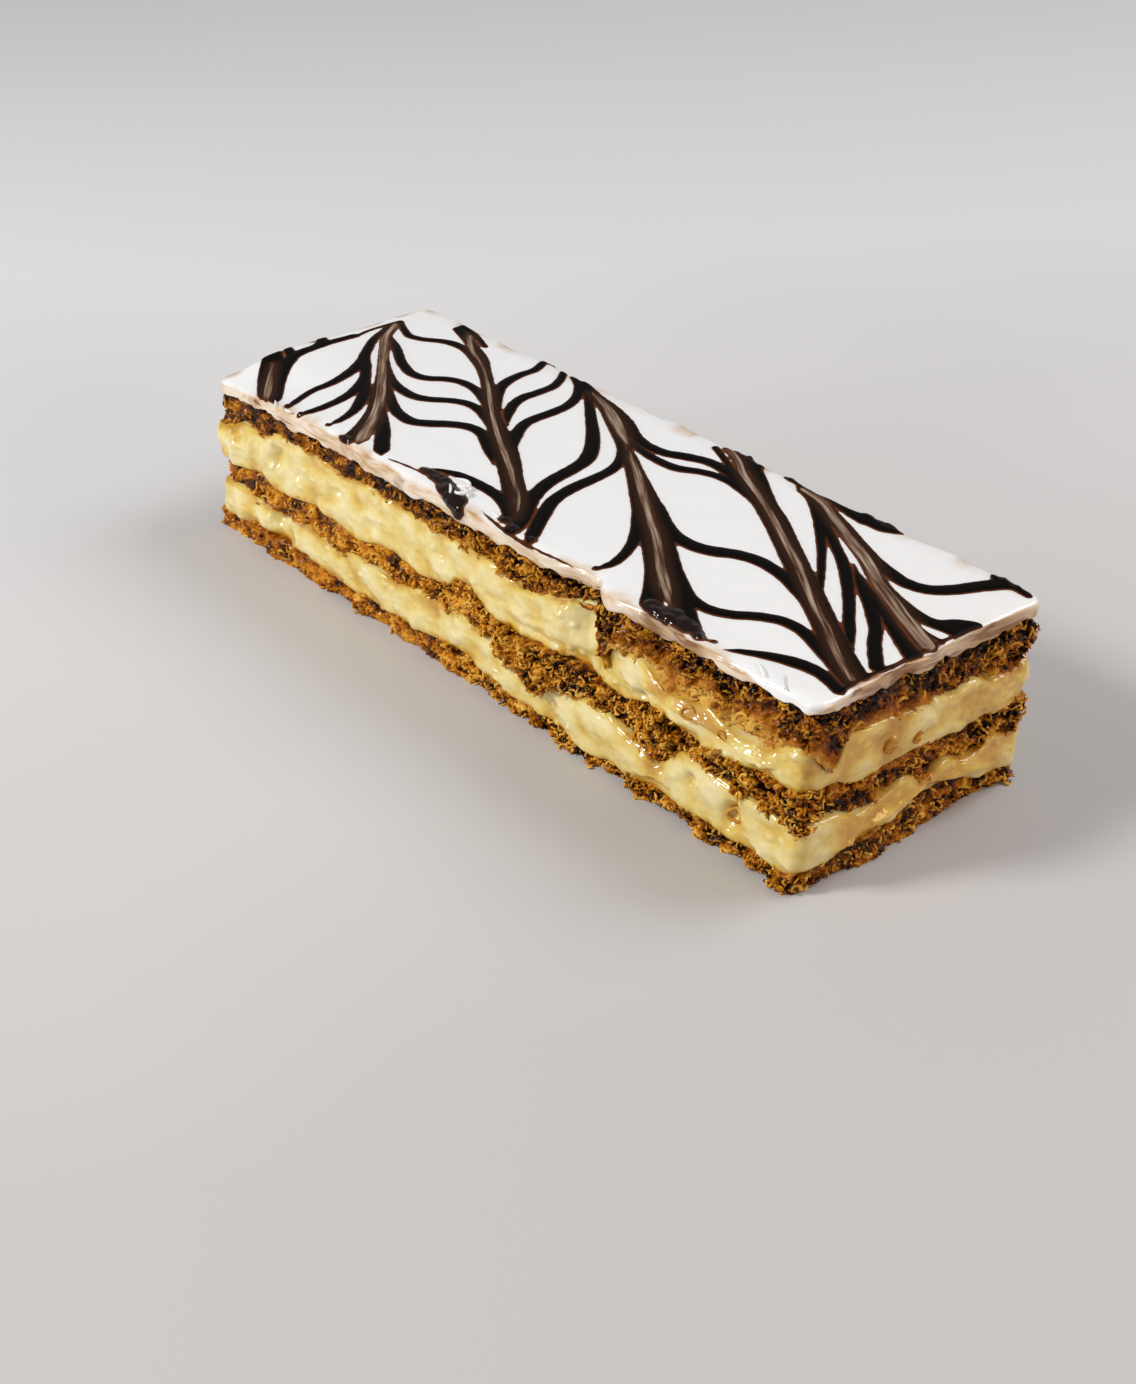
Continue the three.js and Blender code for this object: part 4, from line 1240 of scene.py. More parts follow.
# %% Lines of chocolate
LINES = [
    # down the left end, and the short stroke at its front corner
    ((1, 0.8, 0.8), [(-63.9, 14.6), (-64, 9), (-63.3, 5.4)]),
    ((1.6, 2.4, 2.2), [
        (-63.6, 5), (-63.8, 1), (-63.7, -3), (-62.9, -7.5), (-58.5, -12.8), (-51, -18.8),
    ]),
    ((2.6, 2, 1.6), [(-66.4, -8.8), (-63, -10.2), (-59.5, -12.2)]),
    ((1.8, 1.8, 1.4), [(-66.5, -10), (-61, -14.5), (-54.5, -19)]),
    ((1.6, 2, 2), [(-67, 0.3), (-65.5, 0), (-64, -1.6)]),
    ((1.4, 1.8, 1.6), [(-67, -6), (-65.4, -6.6), (-63.6, -7.4)]),
    # lines that run together in the first stroke
    ((1.2, 1.9, 1.2), [
        (-63.4, 14.4), (-60, 12.8), (-57.6, 12.1), (-55, 13), (-52.6, 14.7), (-50.4, 15.6),
        (-47, 15.6), (-43, 14.2), (-38, 11.7),
    ]),
    ((1.6, 2, 1.4), [
        (-60, 9.8), (-54, 6.9), (-49.5, 4.5), (-45, 3.1), (-41.8, 3.7), (-39.3, 6), (-36.6, 7.1),
        (-33, 6.9), (-28, 5), (-22, 2.2),
    ]),
    ((1.4, 2.1, 1.6), [
        (-55, 4.6), (-49, 1.2), (-44, -1.2), (-40, -2), (-37, -1.9), (-34.6, -0.7), (-32, 1.6),
        (-29.5, 2.7), (-26.5, 2.6), (-22, 1), (-17, -1),
    ]),
    ((1.4, 2.5, 1.6), [
        (-46, -1.4), (-40, -4.7), (-36, -6.8), (-33, -7.7), (-29.8, -7.8), (-27.5, -6.2), (-25.3, -4),
        (-22.7, -2.4), (-19.5, -2.4), (-15.5, -4.4), (-10, -7.6),
    ]),
    ((1.2, 2.2, 1.3), [
        (-63.4, 12.4), (-60.5, 7), (-57, 3), (-53.8, -0.4), (-51.6, -4), (-50.1, -8.5), (-49.9, -12.5),
        (-48.8, -16), (-47.4, -18.6),
    ]),
    ((1.6, 2.1, 1.8), [
        (-56, 2.4), (-51, -1.4), (-47.8, -4), (-45.2, -7.6), (-43.8, -11.2), (-43.3, -15), (-43.5, -19),
    ]),
    ((1.4, 2.2, 1.2), [
        (-49, -2.4), (-45, -5.6), (-41.6, -8.8), (-39, -12), (-37.6, -15), (-36.9, -18),
    ]),
    ((1.2, 2, 2.8), [
        (-47, -2), (-42, -6), (-37.5, -9.6), (-34.6, -12.8), (-32.4, -15.8), (-30.4, -19.3),
    ]),
    ((1.2, 2.4, 2.6), [
        (-45, -3.4), (-40, -7), (-35, -10), (-30, -13.1), (-26.5, -15.7), (-23.2, -18.2),
    ]),
    # lines that run together in the second stroke
    ((1.4, 1.3, 1), [(-55.3, 21.3), (-51, 20.6), (-46, 18.9)]),
    ((1.8, 1.7, 2.4), [
        (-55, 20.1), (-50.5, 18.5), (-46, 17), (-42, 15.4), (-37, 12.2), (-32, 9.1), (-27, 5.8),
        (-22, 2.6), (-16, -0.4), (-10, -3.8), (-4, -8), (2, -12), (8, -17),
    ]),
    ((1, 1.2, 1.6), [
        (-43, 14.6), (-38, 11.9), (-33.5, 9), (-29, 6.1), (-24.5, 3), (-20, -0.2), (-14, -4),
        (-8, -7.6), (-2, -11.4), (4, -15.8),
    ]),
    ((1.5, 2.1, 1.6), [
        (-34.7, 22), (-33.3, 19), (-33.2, 16), (-32.5, 12.9), (-31.1, 10.4), (-28.6, 7.8), (-24.5, 5),
    ]),
    ((1.4, 2.1, 1.8), [
        (-29.6, 22.1), (-27.6, 19.6), (-26.3, 17), (-26, 13.5), (-25.9, 10.6), (-24.7, 7.8),
        (-22.4, 5), (-19.5, 2.6),
    ]),
    ((1.4, 2.2, 2), [
        (-27, 22), (-23.6, 20.1), (-20.9, 17.4), (-19.2, 14.2), (-18.7, 10.6), (-18.6, 7),
        (-17.9, 4.4), (-16, 1.6), (-12, -2),
    ]),
    ((1.6, 2.2, 1.6), [
        (-15.1, -16), (-13, -14.6), (-10, -13.6), (-6, -13.3), (-2, -13.5), (2, -14.8), (5.5, -17),
    ]),
    # lines that run together in the third stroke
    ((1.2, 1.4, 1.6), [(-24.5, 21.9), (-19, 20.2), (-14, 19.2), (-9, 17.6), (-4, 15.6)]),
    ((0.8, 1, 1), [(-20, 19.6), (-14, 16.9), (-8, 13.6), (-3, 10.8)]),
    ((1.2, 2.6, 2.4), [
        (-24, 21.6), (-19, 18.2), (-14, 14.4), (-9, 10.6), (-5, 7), (-2.4, 3.6), (-1.3, 0), (-0.2, -5),
        (2.2, -10), (6.2, -15), (8.6, -18.8),
    ]),
    ((1, 2.4, 2.2), [
        (-8, 13.4), (-3, 10.9), (0.4, 8), (2.4, 4.6), (3.1, 0), (3.5, -4), (4.8, -8.4), (7.4, -12.4),
        (12.2, -18.7),
    ]),
    ((1.4, 2.5, 1.2), [
        (-12, 17.6), (-6, 15.4), (-1, 14), (3, 14.2), (6.2, 15.8), (9.3, 17), (12.5, 17), (17, 16),
        (24, 12.8),
    ]),
    ((0.9, 2.1, 1.3), [
        (-8, 14.6), (-3, 12.9), (0.5, 12), (4.5, 11.7), (8, 12.1), (11, 13.8), (14, 14.8), (18, 14.6),
        (24, 12.6),
    ]),
    ((0.9, 1.7, 3), [
        (-3, 12.2), (3, 8.7), (9, 5.4), (15, 2), (20, -1.2), (25, -4.8), (30, -8.4), (35, -12),
        (40, -15.4), (44, -18.3),
    ]),
    ((1, 1.7, 3.4), [
        (-2, 10.2), (4, 6.4), (9, 2.8), (14, -0.8), (19, -4), (24, -7.4), (29, -11), (33, -14.6),
        (36.5, -18.3),
    ]),
    ((1.2, 1.9, 1.5), [
        (12.5, 0.2), (16, -2.7), (18.6, -5), (21.2, -7.8), (23.1, -10.8), (24.3, -14), (24.2, -16.8),
    ]),
    ((1.4, 2.9, 1.5), [
        (12, 3.6), (16, 1.6), (20, -0.8), (23.5, -2.3), (27, -2.6), (30, -1.7), (33, 0.2), (36, 1.2),
        (40, 1), (44, -0.2), (50, -3),
    ]),
    ((1.6, 2.3, 1.6), [
        (29, -7.6), (34, -10.6), (38, -12.6), (41.5, -12.9), (44.6, -11.5), (47.2, -9.2), (50, -7.7),
        (53.5, -7.7), (58, -9.3), (65.6, -12.4),
    ]),
    ((0.9, 2.5, 1.7), [
        (50.3, -18.4), (53.2, -16.3), (56.2, -14.6), (59.5, -13.5), (62.5, -13.4), (66.3, -14.5),
    ]),
    # lines that run together in the fourth stroke
    ((2.4, 1.7, 2), [
        (9.5, 23.3), (13, 21.8), (17, 19.7), (21, 17.1), (25, 14.5), (30, 11.9), (35, 8.8), (40, 5.7),
        (45, 2.5), (50, -0.6), (55, -3.8), (60, -6.9), (65.6, -10),
    ]),
    ((1.2, 1.4, 1.2), [
        (6.6, 21.2), (12, 18.7), (17, 16.2), (22, 14), (26, 11.7), (30, 9.4), (35, 6.3), (40, 3.2),
        (45, 0), (50, -3.2), (55, -6.3), (60, -9.4), (65.6, -12.4),
    ]),
    # lines that run together in the last stroke
    ((1.2, 1, 0.8), [(20.7, 22.4), (24, 22), (27.5, 22.2), (30, 21.6), (34, 21.2), (37, 21.2)]),
    ((1, 2.3, 3), [
        (31, 20), (36, 18), (41, 15.6), (46, 13.4), (50, 12.2), (53.5, 11.8), (56.4, 12.9),
        (58.5, 15.6), (60, 18.8), (61.8, 22),
    ]),
    ((1.6, 1.8, 1.2), [(59.5, 22.2), (62.5, 22), (65.6, 21.4)]),
    ((1.4, 1.5, 1), [
        (24, 21.6), (28, 19.6), (31.5, 17), (35, 14.1), (39, 10.4), (43, 6.3), (48.3, 0.8),
    ]),
    ((1.2, 1.9, 1.6), [
        (27, 20.6), (34, 16.2), (39, 12.8), (44, 9.4), (48, 6), (52, 2.2), (56, -2), (60.5, -6),
    ]),
    ((1.2, 1.9, 2), [(45, 10.4), (50, 6.6), (54.5, 3.4), (58.5, 0.2), (61.5, -3.2), (65.4, -7)]),
    ((1.2, 1.6, 2.6), [(48, 8.6), (53, 5.8), (57, 3.6), (61, 1.2), (66.2, -1.4)]),
    ((0.9, 1.5, 2.6), [(44, 12.6), (49, 10.1), (54, 8.3), (58, 7), (61.5, 6.4), (64.6, 7.2)]),
    ((2.6, 4.2, 5), [(63.6, 7), (65.2, 8), (66.5, 8.6)]),
    ((0.7, 0.9, 0.8), [(52, 8), (57, 5.9), (61, 4.2), (66.3, 3.8)]),
    # thin smears that the knife left along the cut edges
    ((0.3, 0.5, 0.2), [(-22, -18.4), (-18, -17.6), (-14, -17.2)]),
    ((0.3, 0.5, 0.2), [(1, -18.2), (8, -19.3), (16, -19.2), (22, -18.6)]),
    ((0.6, 0.8, 0.5), [(66.4, -14.5), (66.2, -9), (66.5, -3), (66.3, 4), (66.5, 10)]),
    ((0.8, 3, 0.8), [(31, 21.1), (35, 21), (38.2, 21.2), (40.5, 20.9), (43, 21.9)]),
]
STREAKS = [
    ((1, 1.8, 1.8), [(-63, -11.2), (-58, -15.3), (-53, -19)]),
    ((1.6, 2.1, 2.4), [
        (-63, 13), (-59.5, 8.6), (-55, 5), (-50, 1.2), (-45, -2.6), (-40, -6.4), (-35, -11),
        (-31.5, -15), (-28.5, -18.5),
    ]),
    ((1.6, 1.4, 1.6), [
        (-51, 19.4), (-46, 16.2), (-41, 13.9), (-36, 11), (-31, 7.9), (-26, 4.5), (-21, 1.2),
        (-16, -1.8), (-10, -5), (-4, -8.6), (2, -12.6), (6, -16),
    ]),
    ((1.3, 2.6, 1.6), [(-20, 20), (-15, 18.3), (-10, 15.8), (-5, 13.2), (-1, 11.4)]),
    ((1.6, 1.8, 2.3), [
        (-2, 11.5), (5, 7), (10, 3.6), (15, 0), (18, -2), (22, -4.5), (26, -7.5), (30, -10.7),
        (34, -13.5), (38, -16),
    ]),
    ((1.6, 1.7, 1.8), [
        (8, 22.4), (12, 20.6), (16, 18), (20, 16), (25, 13.4), (30, 10.6), (35, 7.6), (40, 4.7),
        (45, 1.4), (50, -2), (55, -5), (60, -8.4), (65.5, -11.6),
    ]),
    ((1.8, 2.3, 2.6), [
        (25, 21), (30, 20), (35, 17.5), (40, 15), (45, 12.6), (50, 9.6), (55, 7), (60, 4.4), (66, 1.6),
    ]),
]
# wet drops at the front edge and crumbs of chocolate at the back one: the place
# of each, its half sizes, and how far it runs down over the edge
DROPS = [
    (-13.4, -16.3, 2.4, 0.8, 0), (-10.4, -16.6, 2.6, 1.2, 0.2), (-7.0, -17.8, 2.6, 1.4, 0.6),
    (-4.4, -18.8, 2.2, 1.6, 1.0), (-2.8, -20.2, 1.3, 1.3, 2.2), (5.2, -17.4, 1.5, 0.8, 0.3),
    (8.2, -18.2, 1.3, 0.9, 0.5), (12.2, -18.2, 0.9, 0.7, 0.3), (36.3, -17.8, 1.6, 1.2, 0.6),
    (38.4, -18.6, 1.8, 0.8, 0.7), (40.8, -18.3, 1.8, 0.8, 0.6), (39.6, -16.9, 1.6, 1.1, 0.0),
    (43.2, -17.8, 2.2, 1.3, 0.8), (46, -18.6, 1.2, 0.7, 0.5), (48.2, -17.9, 0.5, 0.4, 0),
    (23.9, -16.8, 0.5, 0.5, 0), (-31.2, -19, 1.6, 0.7, 0.4), (-37.2, -18.2, 0.5, 0.4, 0.1),
    (-43.6, -18.8, 0.7, 0.5, 0.3), (-48, -18.3, 0.7, 0.5, 0.2), (9.6, 22.9, 1.2, 0.5, 0.4),
    (12.4, 22.4, 1.4, 0.6, 0.6), (15.4, 21.8, 1.0, 0.4, 0.2), (21.6, 22.4, 1.2, 0.5, 0.3),
    (36.6, 22.2, 1.4, 0.6, 0.5), (40.4, 22.0, 1.8, 0.8, 0.6), (60.8, 22.2, 1.4, 0.5, 0.4),
    (63.4, 22.0, 1.0, 0.4, 0.2), (-26, 23.0, 1.6, 0.5, 0.4), (-33.5, 23.0, 1.3, 0.5, 0.3),
]
print(len(LINES), "lines,", len(STREAKS), "streaks and", len(DROPS), "drops")

# %% How deep each place lies in the chocolate
PATH_STEPS = 60
SPAN_STEPS = 24


def stroke_path(through):
    """Evenly spaced points of a smooth curve through those places, and its length."""
    ends = [through[0], *through, through[-1]]
    pieces = []
    share = np.linspace(0, 1, SPAN_STEPS, endpoint=False)[:, None]
    for a, b, c, d in zip(ends, ends[1:], ends[2:], ends[3:]):
        a, b, c, d = (np.array(point, dtype=float) for point in (a, b, c, d))
        leave, arrive = (c - a) / 2, (d - b) / 2
        cubic = (2 * b - 2 * c + leave + arrive) * share**3
        square = (3 * c - 3 * b - 2 * leave - arrive) * share**2
        pieces.append(cubic + square + leave * share + b)
    path = np.concatenate([*pieces, [through[-1]]])
    path[:, 1] -= LEAN
    run = np.concatenate([[0], np.cumsum(np.hypot(*np.diff(path, axis=0).T))])
    even = np.linspace(0, run[-1], PATH_STEPS + 1)
    return np.stack([np.interp(even, run, path[:, axis]) for axis in (0, 1)], axis=-1), run[-1]


CELL = 0.25
MARGIN = 2  # of the grid, round the nominal outline
FAR = 3.0  # how far out of a line its field reaches
FRONT, BACK, ENDS = -18, 16.5, 62  # a line that ends past these reaches the icing's edge
grid_x, grid_y = np.meshgrid(
    np.arange(-LENGTH / 2 - MARGIN, LENGTH / 2 + MARGIN, CELL),
    np.arange(-WIDTH / 2 - MARGIN, WIDTH / 2 + MARGIN, CELL),
)


def depth_in(stroke):
    """How deep each grid point lies inside a line, and where along and across it.

    An end that lies on the icing, and not at its edge, runs out thin, and one
    at the front edge ends in a short blunt tip.
    """
    widths, through = stroke
    path, length = stroke_path(through)
    depth = np.full(grid_x.shape, -FAR)
    along = np.zeros(grid_x.shape)
    across = np.zeros(grid_x.shape)
    low, high = path.min(axis=0) - FAR, path.max(axis=0) + FAR
    near = (grid_x > low[0]) & (grid_x < high[0]) & (grid_y > low[1]) & (grid_y < high[1])
    point = np.stack([grid_x[near], grid_y[near]], axis=-1)[:, None]
    start, step = path[:-1], np.diff(path, axis=0)
    share = ((point - start) * step).sum(-1) / (step**2).sum(-1)
    share = share.clip(0, 1)
    gap = point - start - share[..., None] * step
    distance = np.hypot(gap[..., 0], gap[..., 1])
    position = (np.arange(PATH_STEPS) + share) / PATH_STEPS
    half = np.interp(position, (0, 0.5, 1), widths) / 2
    for end, away in ((path[0], position), (path[-1], 1 - position)):
        if abs(end[0]) < ENDS and end[1] < BACK:
            thin_out = 5 if end[1] > FRONT else 1.8
            half = half * np.clip(away * length / thin_out, 0.12, 1) ** 0.6
    inside = half - distance
    best = inside.argmax(axis=1)
    row = np.arange(len(best))
    side = np.sign(step[best, 0] * gap[row, best, 1] - step[best, 1] * gap[row, best, 0])
    depth[near] = inside[row, best]
    along[near] = position[row, best] * length
    across[near] = side * distance[row, best]
    return depth, along, across


def merged(first, second, softness):
    """The union of two depths, with a soft web of chocolate where they meet."""
    web = np.clip(softness - np.abs(first - second), 0, None) ** 2 / (4 * softness)
    return np.maximum(first, second) + web


print("grid of", grid_x.size, "points,", CELL, "mm apart")

# %% Fields of chocolate
APART = 100  # so that no two strokes share the same noise
OVERHANG = 0.7  # how far chocolate may run out over the icing's top edge
dark_depth = np.full(grid_x.shape, -FAR)
for stroke in LINES:
    own, _, _ = depth_in(stroke)
    dark_depth = merged(dark_depth, own, softness=0.6)
streak_depth = np.full(grid_x.shape, -FAR)
along = np.zeros(grid_x.shape)
across = np.ones(grid_x.shape)
for number, stroke in enumerate(STREAKS):
    own, own_along, own_across = depth_in(stroke)
    nearer = own > streak_depth
    along[nearer] = own_along[nearer] + APART * number
    across[nearer] = own_across[nearer]
    streak_depth = np.maximum(streak_depth, own)
wet_depth = np.full(grid_x.shape, -FAR)
over_edge = np.full(grid_x.shape, OVERHANG)
for x, y, half_x, half_y, down in DROPS:
    away = np.hypot((grid_x - x) / half_x, (grid_y + LEAN - y) / half_y)
    wet_depth = merged(wet_depth, (1 - away) * min(half_x, half_y), softness=1.2)
    over_edge += down * np.exp(-(((grid_x - x) / half_x) ** 2))
dark_depth = merged(dark_depth, wet_depth, softness=0.8)
depth = merged(dark_depth, streak_depth, softness=0.5)
print("lines go", round(dark_depth.max(), 1), "mm deep, and streaks", round(streak_depth.max(), 1))

# %% [markdown]
# ## Chocolate as a thin sheet
# The joined lines are kept as one number for each point of a fine grid: how
# deep the point lies inside the chocolate. Squares of the grid are cut where
# that number passes zero, which gives a clean outline with soft webs where
# lines meet. The sheet is slightly domed, and follows the icing's rounded edge.

# %% Chocolate sheet
RIPPLE_SIZE = 1.1
SHAKE, RIPPLE = 0.08, 0.15  # how far noise moves the outline, set and wet


def field_limit():
    """How far each grid point lies inside the icing's rounded top edge."""
    front = way < STRAIGHT_X
    right = (way > STRAIGHT_X + BEND) & (way < STRAIGHT_X + BEND + STRAIGHT_Y)
    back_start = STRAIGHT_X + STRAIGHT_Y + 2 * BEND
    back = (way > back_start) & (way < back_start + STRAIGHT_X)
    left = way > back_start + STRAIGHT_X + BEND
    left &= way < back_start + STRAIGHT_X + BEND + STRAIGHT_Y
    x, y = rim_x[-1], rim_y[-1]
    from_front = grid_y - np.interp(grid_x, x[front], y[front])
    from_back = np.interp(grid_x, x[back][::-1], y[back][::-1]) - grid_y
    from_right = np.interp(grid_y, y[right], x[right]) - grid_x
    from_left = grid_x - np.interp(grid_y, y[left][::-1], x[left][::-1])
    return np.minimum.reduce([from_front, from_back, from_right, from_left])


def noise_near(field, width, level):
    """Noise at the grid points that lie in or near that field, from one level of it."""
    values = [
        noise.noise(Vector((x / width, y / RIPPLE_SIZE, level))) if inside > -1 else 0.0
        for x, y, inside in zip(grid_x.ravel(), grid_y.ravel(), field.ravel())
    ]
    return np.array(values).reshape(grid_x.shape)


limit = field_limit()
shake = noise_near(depth, width=RIPPLE_SIZE, level=0.0)
ripples = noise_near(wet_depth, width=1.2, level=7.0)
depth = depth + SHAKE * shake + RIPPLE * ripples * np.clip(wet_depth + 1, 0, 1)
depth = np.minimum(depth, limit + over_edge)
level, flat_x, flat_y = depth.ravel(), grid_x.ravel(), grid_y.ravel()
inside = level > 0
number = np.where(inside, np.cumsum(inside) - 1, -1)
sheet_points = list(zip(flat_x[inside], flat_y[inside]))
crossings = {}


def crossing(a, b):
    """The number of the point where the outline crosses the grid's edge from a to b."""
    key = (min(a, b), max(a, b))
    if key not in crossings:
        share = min(max(level[a] / (level[a] - level[b]), 0.05), 0.95)
        x = flat_x[a] + share * (flat_x[b] - flat_x[a])
        y = flat_y[a] + share * (flat_y[b] - flat_y[a])
        crossings[key] = len(sheet_points)
        sheet_points.append((x, y))
    return crossings[key]


grid_number = np.arange(level.size).reshape(grid_x.shape)
corner_views = (grid_number[:-1, :-1], grid_number[:-1, 1:], grid_number[1:, 1:], grid_number[1:, :-1])
squares = np.stack([view.ravel() for view in corner_views], axis=-1)
corners_in = inside[squares].sum(axis=1)
upper_faces = number[squares[corners_in == 4]].tolist()
for square in squares[(corners_in > 0) & (corners_in < 4)].tolist():
    face = []
    for a, b in zip(square, square[1:] + square[:1]):
        if inside[a]:
            face.append(int(number[a]))
        if inside[a] != inside[b]:
            face.append(crossing(a, b) if inside[a] else crossing(b, a))
    upper_faces.append(face)
sheet_x, sheet_y = np.array(sheet_points).T
total = len(sheet_x)
print("chocolate covers", round((corners_in / 4).sum() * CELL**2), "square mm")

# %% The sheet's height
SHEET = 0.45  # thickness
THIN = 0.05  # how far the set sheet's edge stands up
DOME = 0.2  # and how much more its middle does


def smoothly(field):
    """A field's values at the sheet's points, blended between grid points."""
    column = (sheet_x - grid_x[0, 0]) / CELL
    row = (sheet_y - grid_y[0, 0]) / CELL
    left, low = column.astype(int), row.astype(int)
    right_share, up_share = column - left, row - low
    below = field[low, left] * (1 - right_share) + field[low, left + 1] * right_share
    above = field[low + 1, left] * (1 - right_share) + field[low + 1, left + 1] * right_share
    return below * (1 - up_share) + above * up_share


def nearest(field):
    """A field's values at the sheet's points, each from the nearest grid point."""
    column = np.rint((sheet_x - grid_x[0, 0]) / CELL).astype(int)
    row = np.rint((sheet_y - grid_y[0, 0]) / CELL).astype(int)
    return field[row, column]


held = smoothly(depth).clip(0, None)
held[inside.sum() :] = 0
wet = np.clip(smoothly(wet_depth) / 0.5 + 0.6, 0, 1)
ripple = smoothly(ripples)
swell = np.tanh(smoothly(wet_depth).clip(0, None) / 0.9)
rise = THIN + DOME * (1 - np.exp(-held / 0.45)) + swell * (0.5 + 0.55 * ripple)
inward_y, inward_x = (smoothly(slope) for slope in np.gradient(limit, CELL))
past = np.clip(-smoothly(limit), 0, None)
angle = np.clip(past / RIM_RADIUS, 0, math.pi / 2)
out = RIM_RADIUS * np.sin(angle)
down = RIM_RADIUS * (1 - np.cos(angle)) + past - angle * RIM_RADIUS
sheet_layers = []
for lift in (rise, rise - SHEET):
    back = past - out - lift * np.sin(angle)
    height = icing_level(sheet_x, sheet_y) - down + lift * np.cos(angle)
    sheet_layers.append(placed(sheet_x + inward_x * back, sheet_y + inward_y * back, height))
sides = {}
for face in upper_faces:
    sides.update(dict.fromkeys(zip(face, face[1:] + face[:1])))
walls = [[b, a, a + total, b + total] for a, b in sides if (b, a) not in sides]
lower_faces = [[point + total for point in face[::-1]] for face in upper_faces]
faces = upper_faces + lower_faces + walls
sheet_marks = {
    "depth": np.tile(held, 2), "wet": np.tile(wet, 2),
    "dark": np.tile(smoothly(np.clip(dark_depth / 0.5 + 0.5, 0, 1)), 2),
    "streak": np.tile(smoothly(streak_depth), 2), "across": np.tile(nearest(across), 2),
    "along": np.tile(nearest(along), 2),
}
print("chocolate stands", round(float(rise.max()), 2), "mm high at most")

# %% [markdown]
# Dark chocolate sets nearly black with a soft gloss. Along the knife's strokes
# it is drawn out with icing into fine brown and beige streaks, and at its edges
# it bleeds a thin brown line into the fondant. The streaks are noise stretched
# along each stroke, read from the attributes that the sheet carries. Where it
# gathered at the cut edge it has stayed wet, with a clear gloss.

# %% Chocolate material
STREAK_WIDTH = 0.5  # in mm, as the marks on the sheet are
STREAK_LENGTH = 11
MARBLING = [
    (0.4, "#1a100b"), (0.53, "#402a1e"), (0.64, "#6f5544"), (0.76, "#9b8674"), (0.92, "#b9a999"),
]


def chocolate_material(name, darkest, fixed):
    """Chocolate of that darkest colour, with streaks where icing was drawn into it."""
    made, tree, shader = new_material(name, fixed)
    depth_mark, dark_mark, streak_mark, across_mark, along_mark = (
        add(tree, MARK, {"attribute_name": mark}).outputs["Fac"]
        for mark in ("depth", "dark", "streak", "across", "along")
    )
    core = add(tree, RANGE, {}, {"Value": streak_mark, "From Min": 0.1, "From Max": 0.65})
    near_core = add(
        tree, RANGE, {}, {"Value": streak_mark, "From Min": -1.3, "From Max": 0.0, "To Max": 0.8}
    )
    stroke_place = add(
        tree, "ShaderNodeCombineXYZ", {},
        [
            add(tree, MATH, "MULTIPLY", [across_mark, 1 / STREAK_WIDTH]),
            add(tree, MATH, "MULTIPLY", [along_mark, 1 / STREAK_LENGTH]),
        ],
    )
    streaks = add(
        tree, NOISE, {}, {"Vector": stroke_place, "Scale": 1.0, "Detail": 3, "Roughness": 0.55}
    )
    tone = add(tree, MATH, "MULTIPLY_ADD", [core, 0.18, streaks])
    marbled = add(tree, RAMP, {"stops": MARBLING}, [tone])
    cover = add(tree, MATH, "SUBTRACT", [streaks, NOISE_MIDDLE])
    cover = add(tree, MATH, "MULTIPLY_ADD", [cover, -0.9, dark_mark])
    cover = add(tree, MATH, "MULTIPLY_ADD", [core, -1.3, cover])
    cover = add(tree, RANGE, SOFT_STEP, {"Value": cover, "From Min": 0.1, "From Max": 0.6})
    plain = add(
        tree, MIX, OF_COLOURS, {"Factor": near_core, "A": linear(darkest), "B": linear("#352014")}
    )
    colour = add(tree, MIX, OF_COLOURS, {"Factor": cover, "A": marbled, "B": plain})
    bleed = add(tree, RANGE, {}, {"Value": depth_mark, "From Min": 0.02, "From Max": 0.26})
    colour = add(tree, MIX, OF_COLOURS, {"Factor": bleed, "A": linear("#65361a"), "B": colour})
    fill(tree, shader, {"Base Color": colour})
    return made


set_chocolate = chocolate_material(
    "dark chocolate, set", "#0d0908", {"Roughness": 0.35, "Specular IOR Level": 0.03}
)
wet_chocolate = chocolate_material(
    "dark chocolate, still wet", "#1d0d06",
    {"Roughness": 0.2, "Specular IOR Level": 0.06, "Coat Weight": 0.5, "Coat Roughness": 0.03},
)

# %% Feathering
MOSTLY_WET = 0.6
points = np.concatenate(sheet_layers).tolist()
feathers = mesh_piece("chocolate_feathering", points, faces, sheet_marks, set_chocolate)
feathers.data.materials.append(wet_chocolate)
wet_points = np.tile(wet > MOSTLY_WET, 2)
for polygon in feathers.data.polygons:
    polygon.material_index = int(wet_points[list(polygon.vertices)].all())
hand_over(feathers, "fondant_icing")

# %% [markdown]
# Where the chocolate is still wet, the knife also drew up little white curls of
# icing. They are bent rods with tapered ends, laid along a few places each.

# %% White curls
# how high each lies over the icing's top, and the places that it runs through
ICING_CURLS = [
    (0.75, [(-8.6, -15.6), (-7.2, -14.9), (-5.6, -15.2), (-5.2, -16.4), (-6.4, -16.9), (-7.2, -16.2)]),
    (0.75, [(-6.0, -17.0), (-4.6, -16.6), (-3.8, -17.6), (-4.6, -18.6), (-5.4, -18.0)]),
    (0.75, [(-7.6, -17.3), (-6.4, -18.0), (-5.4, -19.0)]),
    (0.5, [(2.6, -17.6), (3.6, -18.2), (4.6, -18.0)]),
    (0.2, [(-51.4, -18.4), (-50.2, -19.0), (-49.4, -19.8)]),
    (0.2, [(-46.9, -19.4), (-45.9, -19.9), (-45.0, -19.6)]),
    (0.2, [(55.4, -17.6), (57.0, -18.2), (58.4, -19.2)]),
    (0.2, [(59.6, -17.2), (60.6, -18.6), (62.0, -19.4)]),
]
rows = []
for lift, through in ICING_CURLS:
    x, y = np.array(through).T
    rows.append(placed(x, y - LEAN, icing_level(x, y - LEAN) + lift))
strands("icing_curls", rows, icing_white, "fondant_icing", marks={}, thickness=0.68)
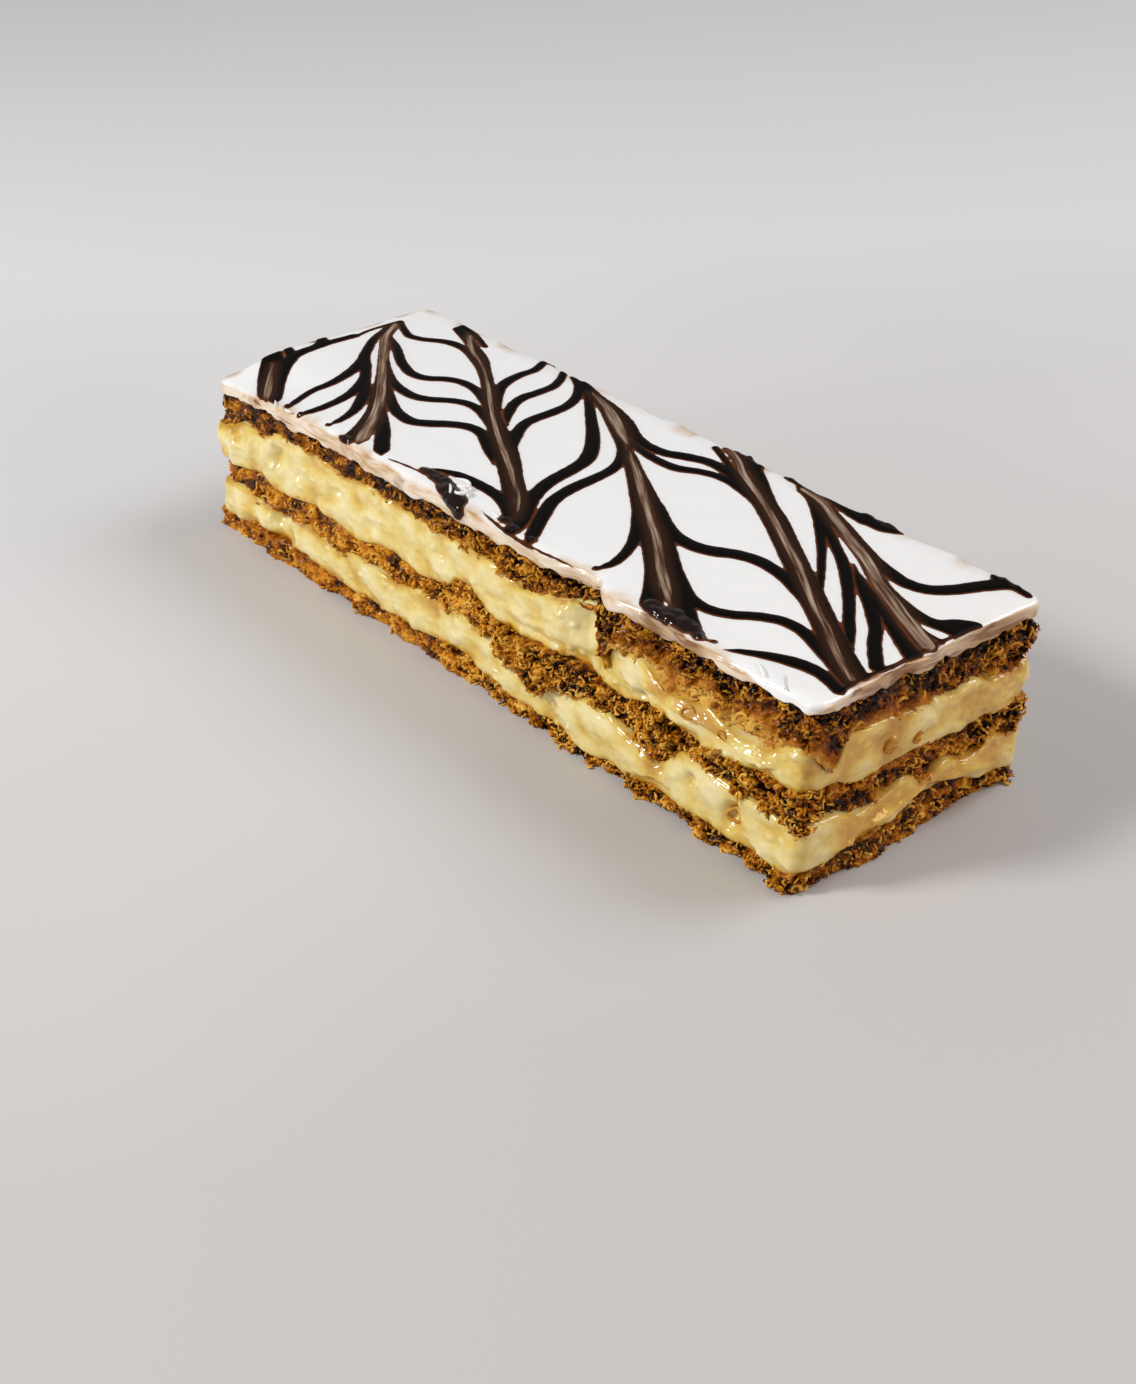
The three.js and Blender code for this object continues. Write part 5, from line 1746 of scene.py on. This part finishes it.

# %% [markdown]
# ## Floor and light
# A plain pale floor and soft lamps show the slice without hard shadows, and a
# pale sky fills what they leave. The floor's colour is painted lighter towards
# the back, which is painted light. The key lamp stands in front and to the left,
# so the long cut face is bright, and a small low one beside it draws the fine
# glints on moist cream. A weak warm lamp gives the calmer right end the glow
# that a golden surface would throw on it.

# %% Floor
floor_paint, tree, shader = new_material("pale floor", {"Roughness": 0.55})
place = add(tree, "ShaderNodeTexCoord").outputs["Object"]
# painted light: the floor's colour grows lighter towards the back
painted_light_to_back = add(tree, VECTOR_MATH, "DOT_PRODUCT", [place, (-0.75, 0.66, 0.0)]).outputs["Value"]
clouds = add(tree, NOISE, {}, {"Vector": place, "Scale": 3.0, "Detail": 3})
tone = add(tree, MATH, "MULTIPLY_ADD", [painted_light_to_back, 3.0, clouds])
colour = add(tree, RAMP, {"stops": [(0.3, "#c8c7c8"), (1.0, "#e6e5e6")]}, [tone])
fill(tree, shader, {"Base Color": colour})
FLOOR = 2.5  # metres from its middle to a side
corners = [(-FLOOR, -FLOOR, 0), (FLOOR, -FLOOR, 0), (FLOOR, FLOOR, 0), (-FLOOR, FLOOR, 0)]
floor_mesh = bpy.data.meshes.new("floor")
floor_mesh.from_pydata(corners, [], [(0, 1, 2, 3)])
floor_mesh.materials.append(floor_paint)
floor = in_scene("floor", floor_mesh)
print("the floor is", 2 * FLOOR, "m wide")


# %% Light
def softbox(name, place, size, power, colour):
    """A square lamp that faces the slice."""
    data = bpy.data.lights.new(name, "AREA")
    data.shape = "SQUARE"
    data.size = size
    data.energy = power
    data.color = linear(colour)[:3]
    lamp = in_scene(name, data)
    lamp.location = place
    lamp.rotation_euler = (-Vector(place)).to_track_quat("-Z", "Y").to_euler()


softbox("key", (-0.22, -0.5, 0.45), size=0.15, power=3.1, colour="#fffdf9")
softbox("back", (0.25, 0.55, 0.7), size=0.5, power=4.1, colour="#f7f8fb")
softbox("low", (-0.25, -0.6, 0.11), size=0.05, power=0.6, colour="#fffaf0")
softbox("warm", (0.5, 0.18, 0.17), size=0.15, power=0.55, colour="#ffd396")
world = bpy.data.worlds.new("pale sky")
world.use_nodes = True
background = world.node_tree.nodes["Background"]
background.inputs["Color"].default_value = linear("#f1f2f4")
background.inputs["Strength"].default_value = 0.28
bpy.context.scene.world = world
bpy.context.scene.view_settings.view_transform = "Standard"
print("lamps:", ", ".join(lamp.name for lamp in bpy.data.lights))
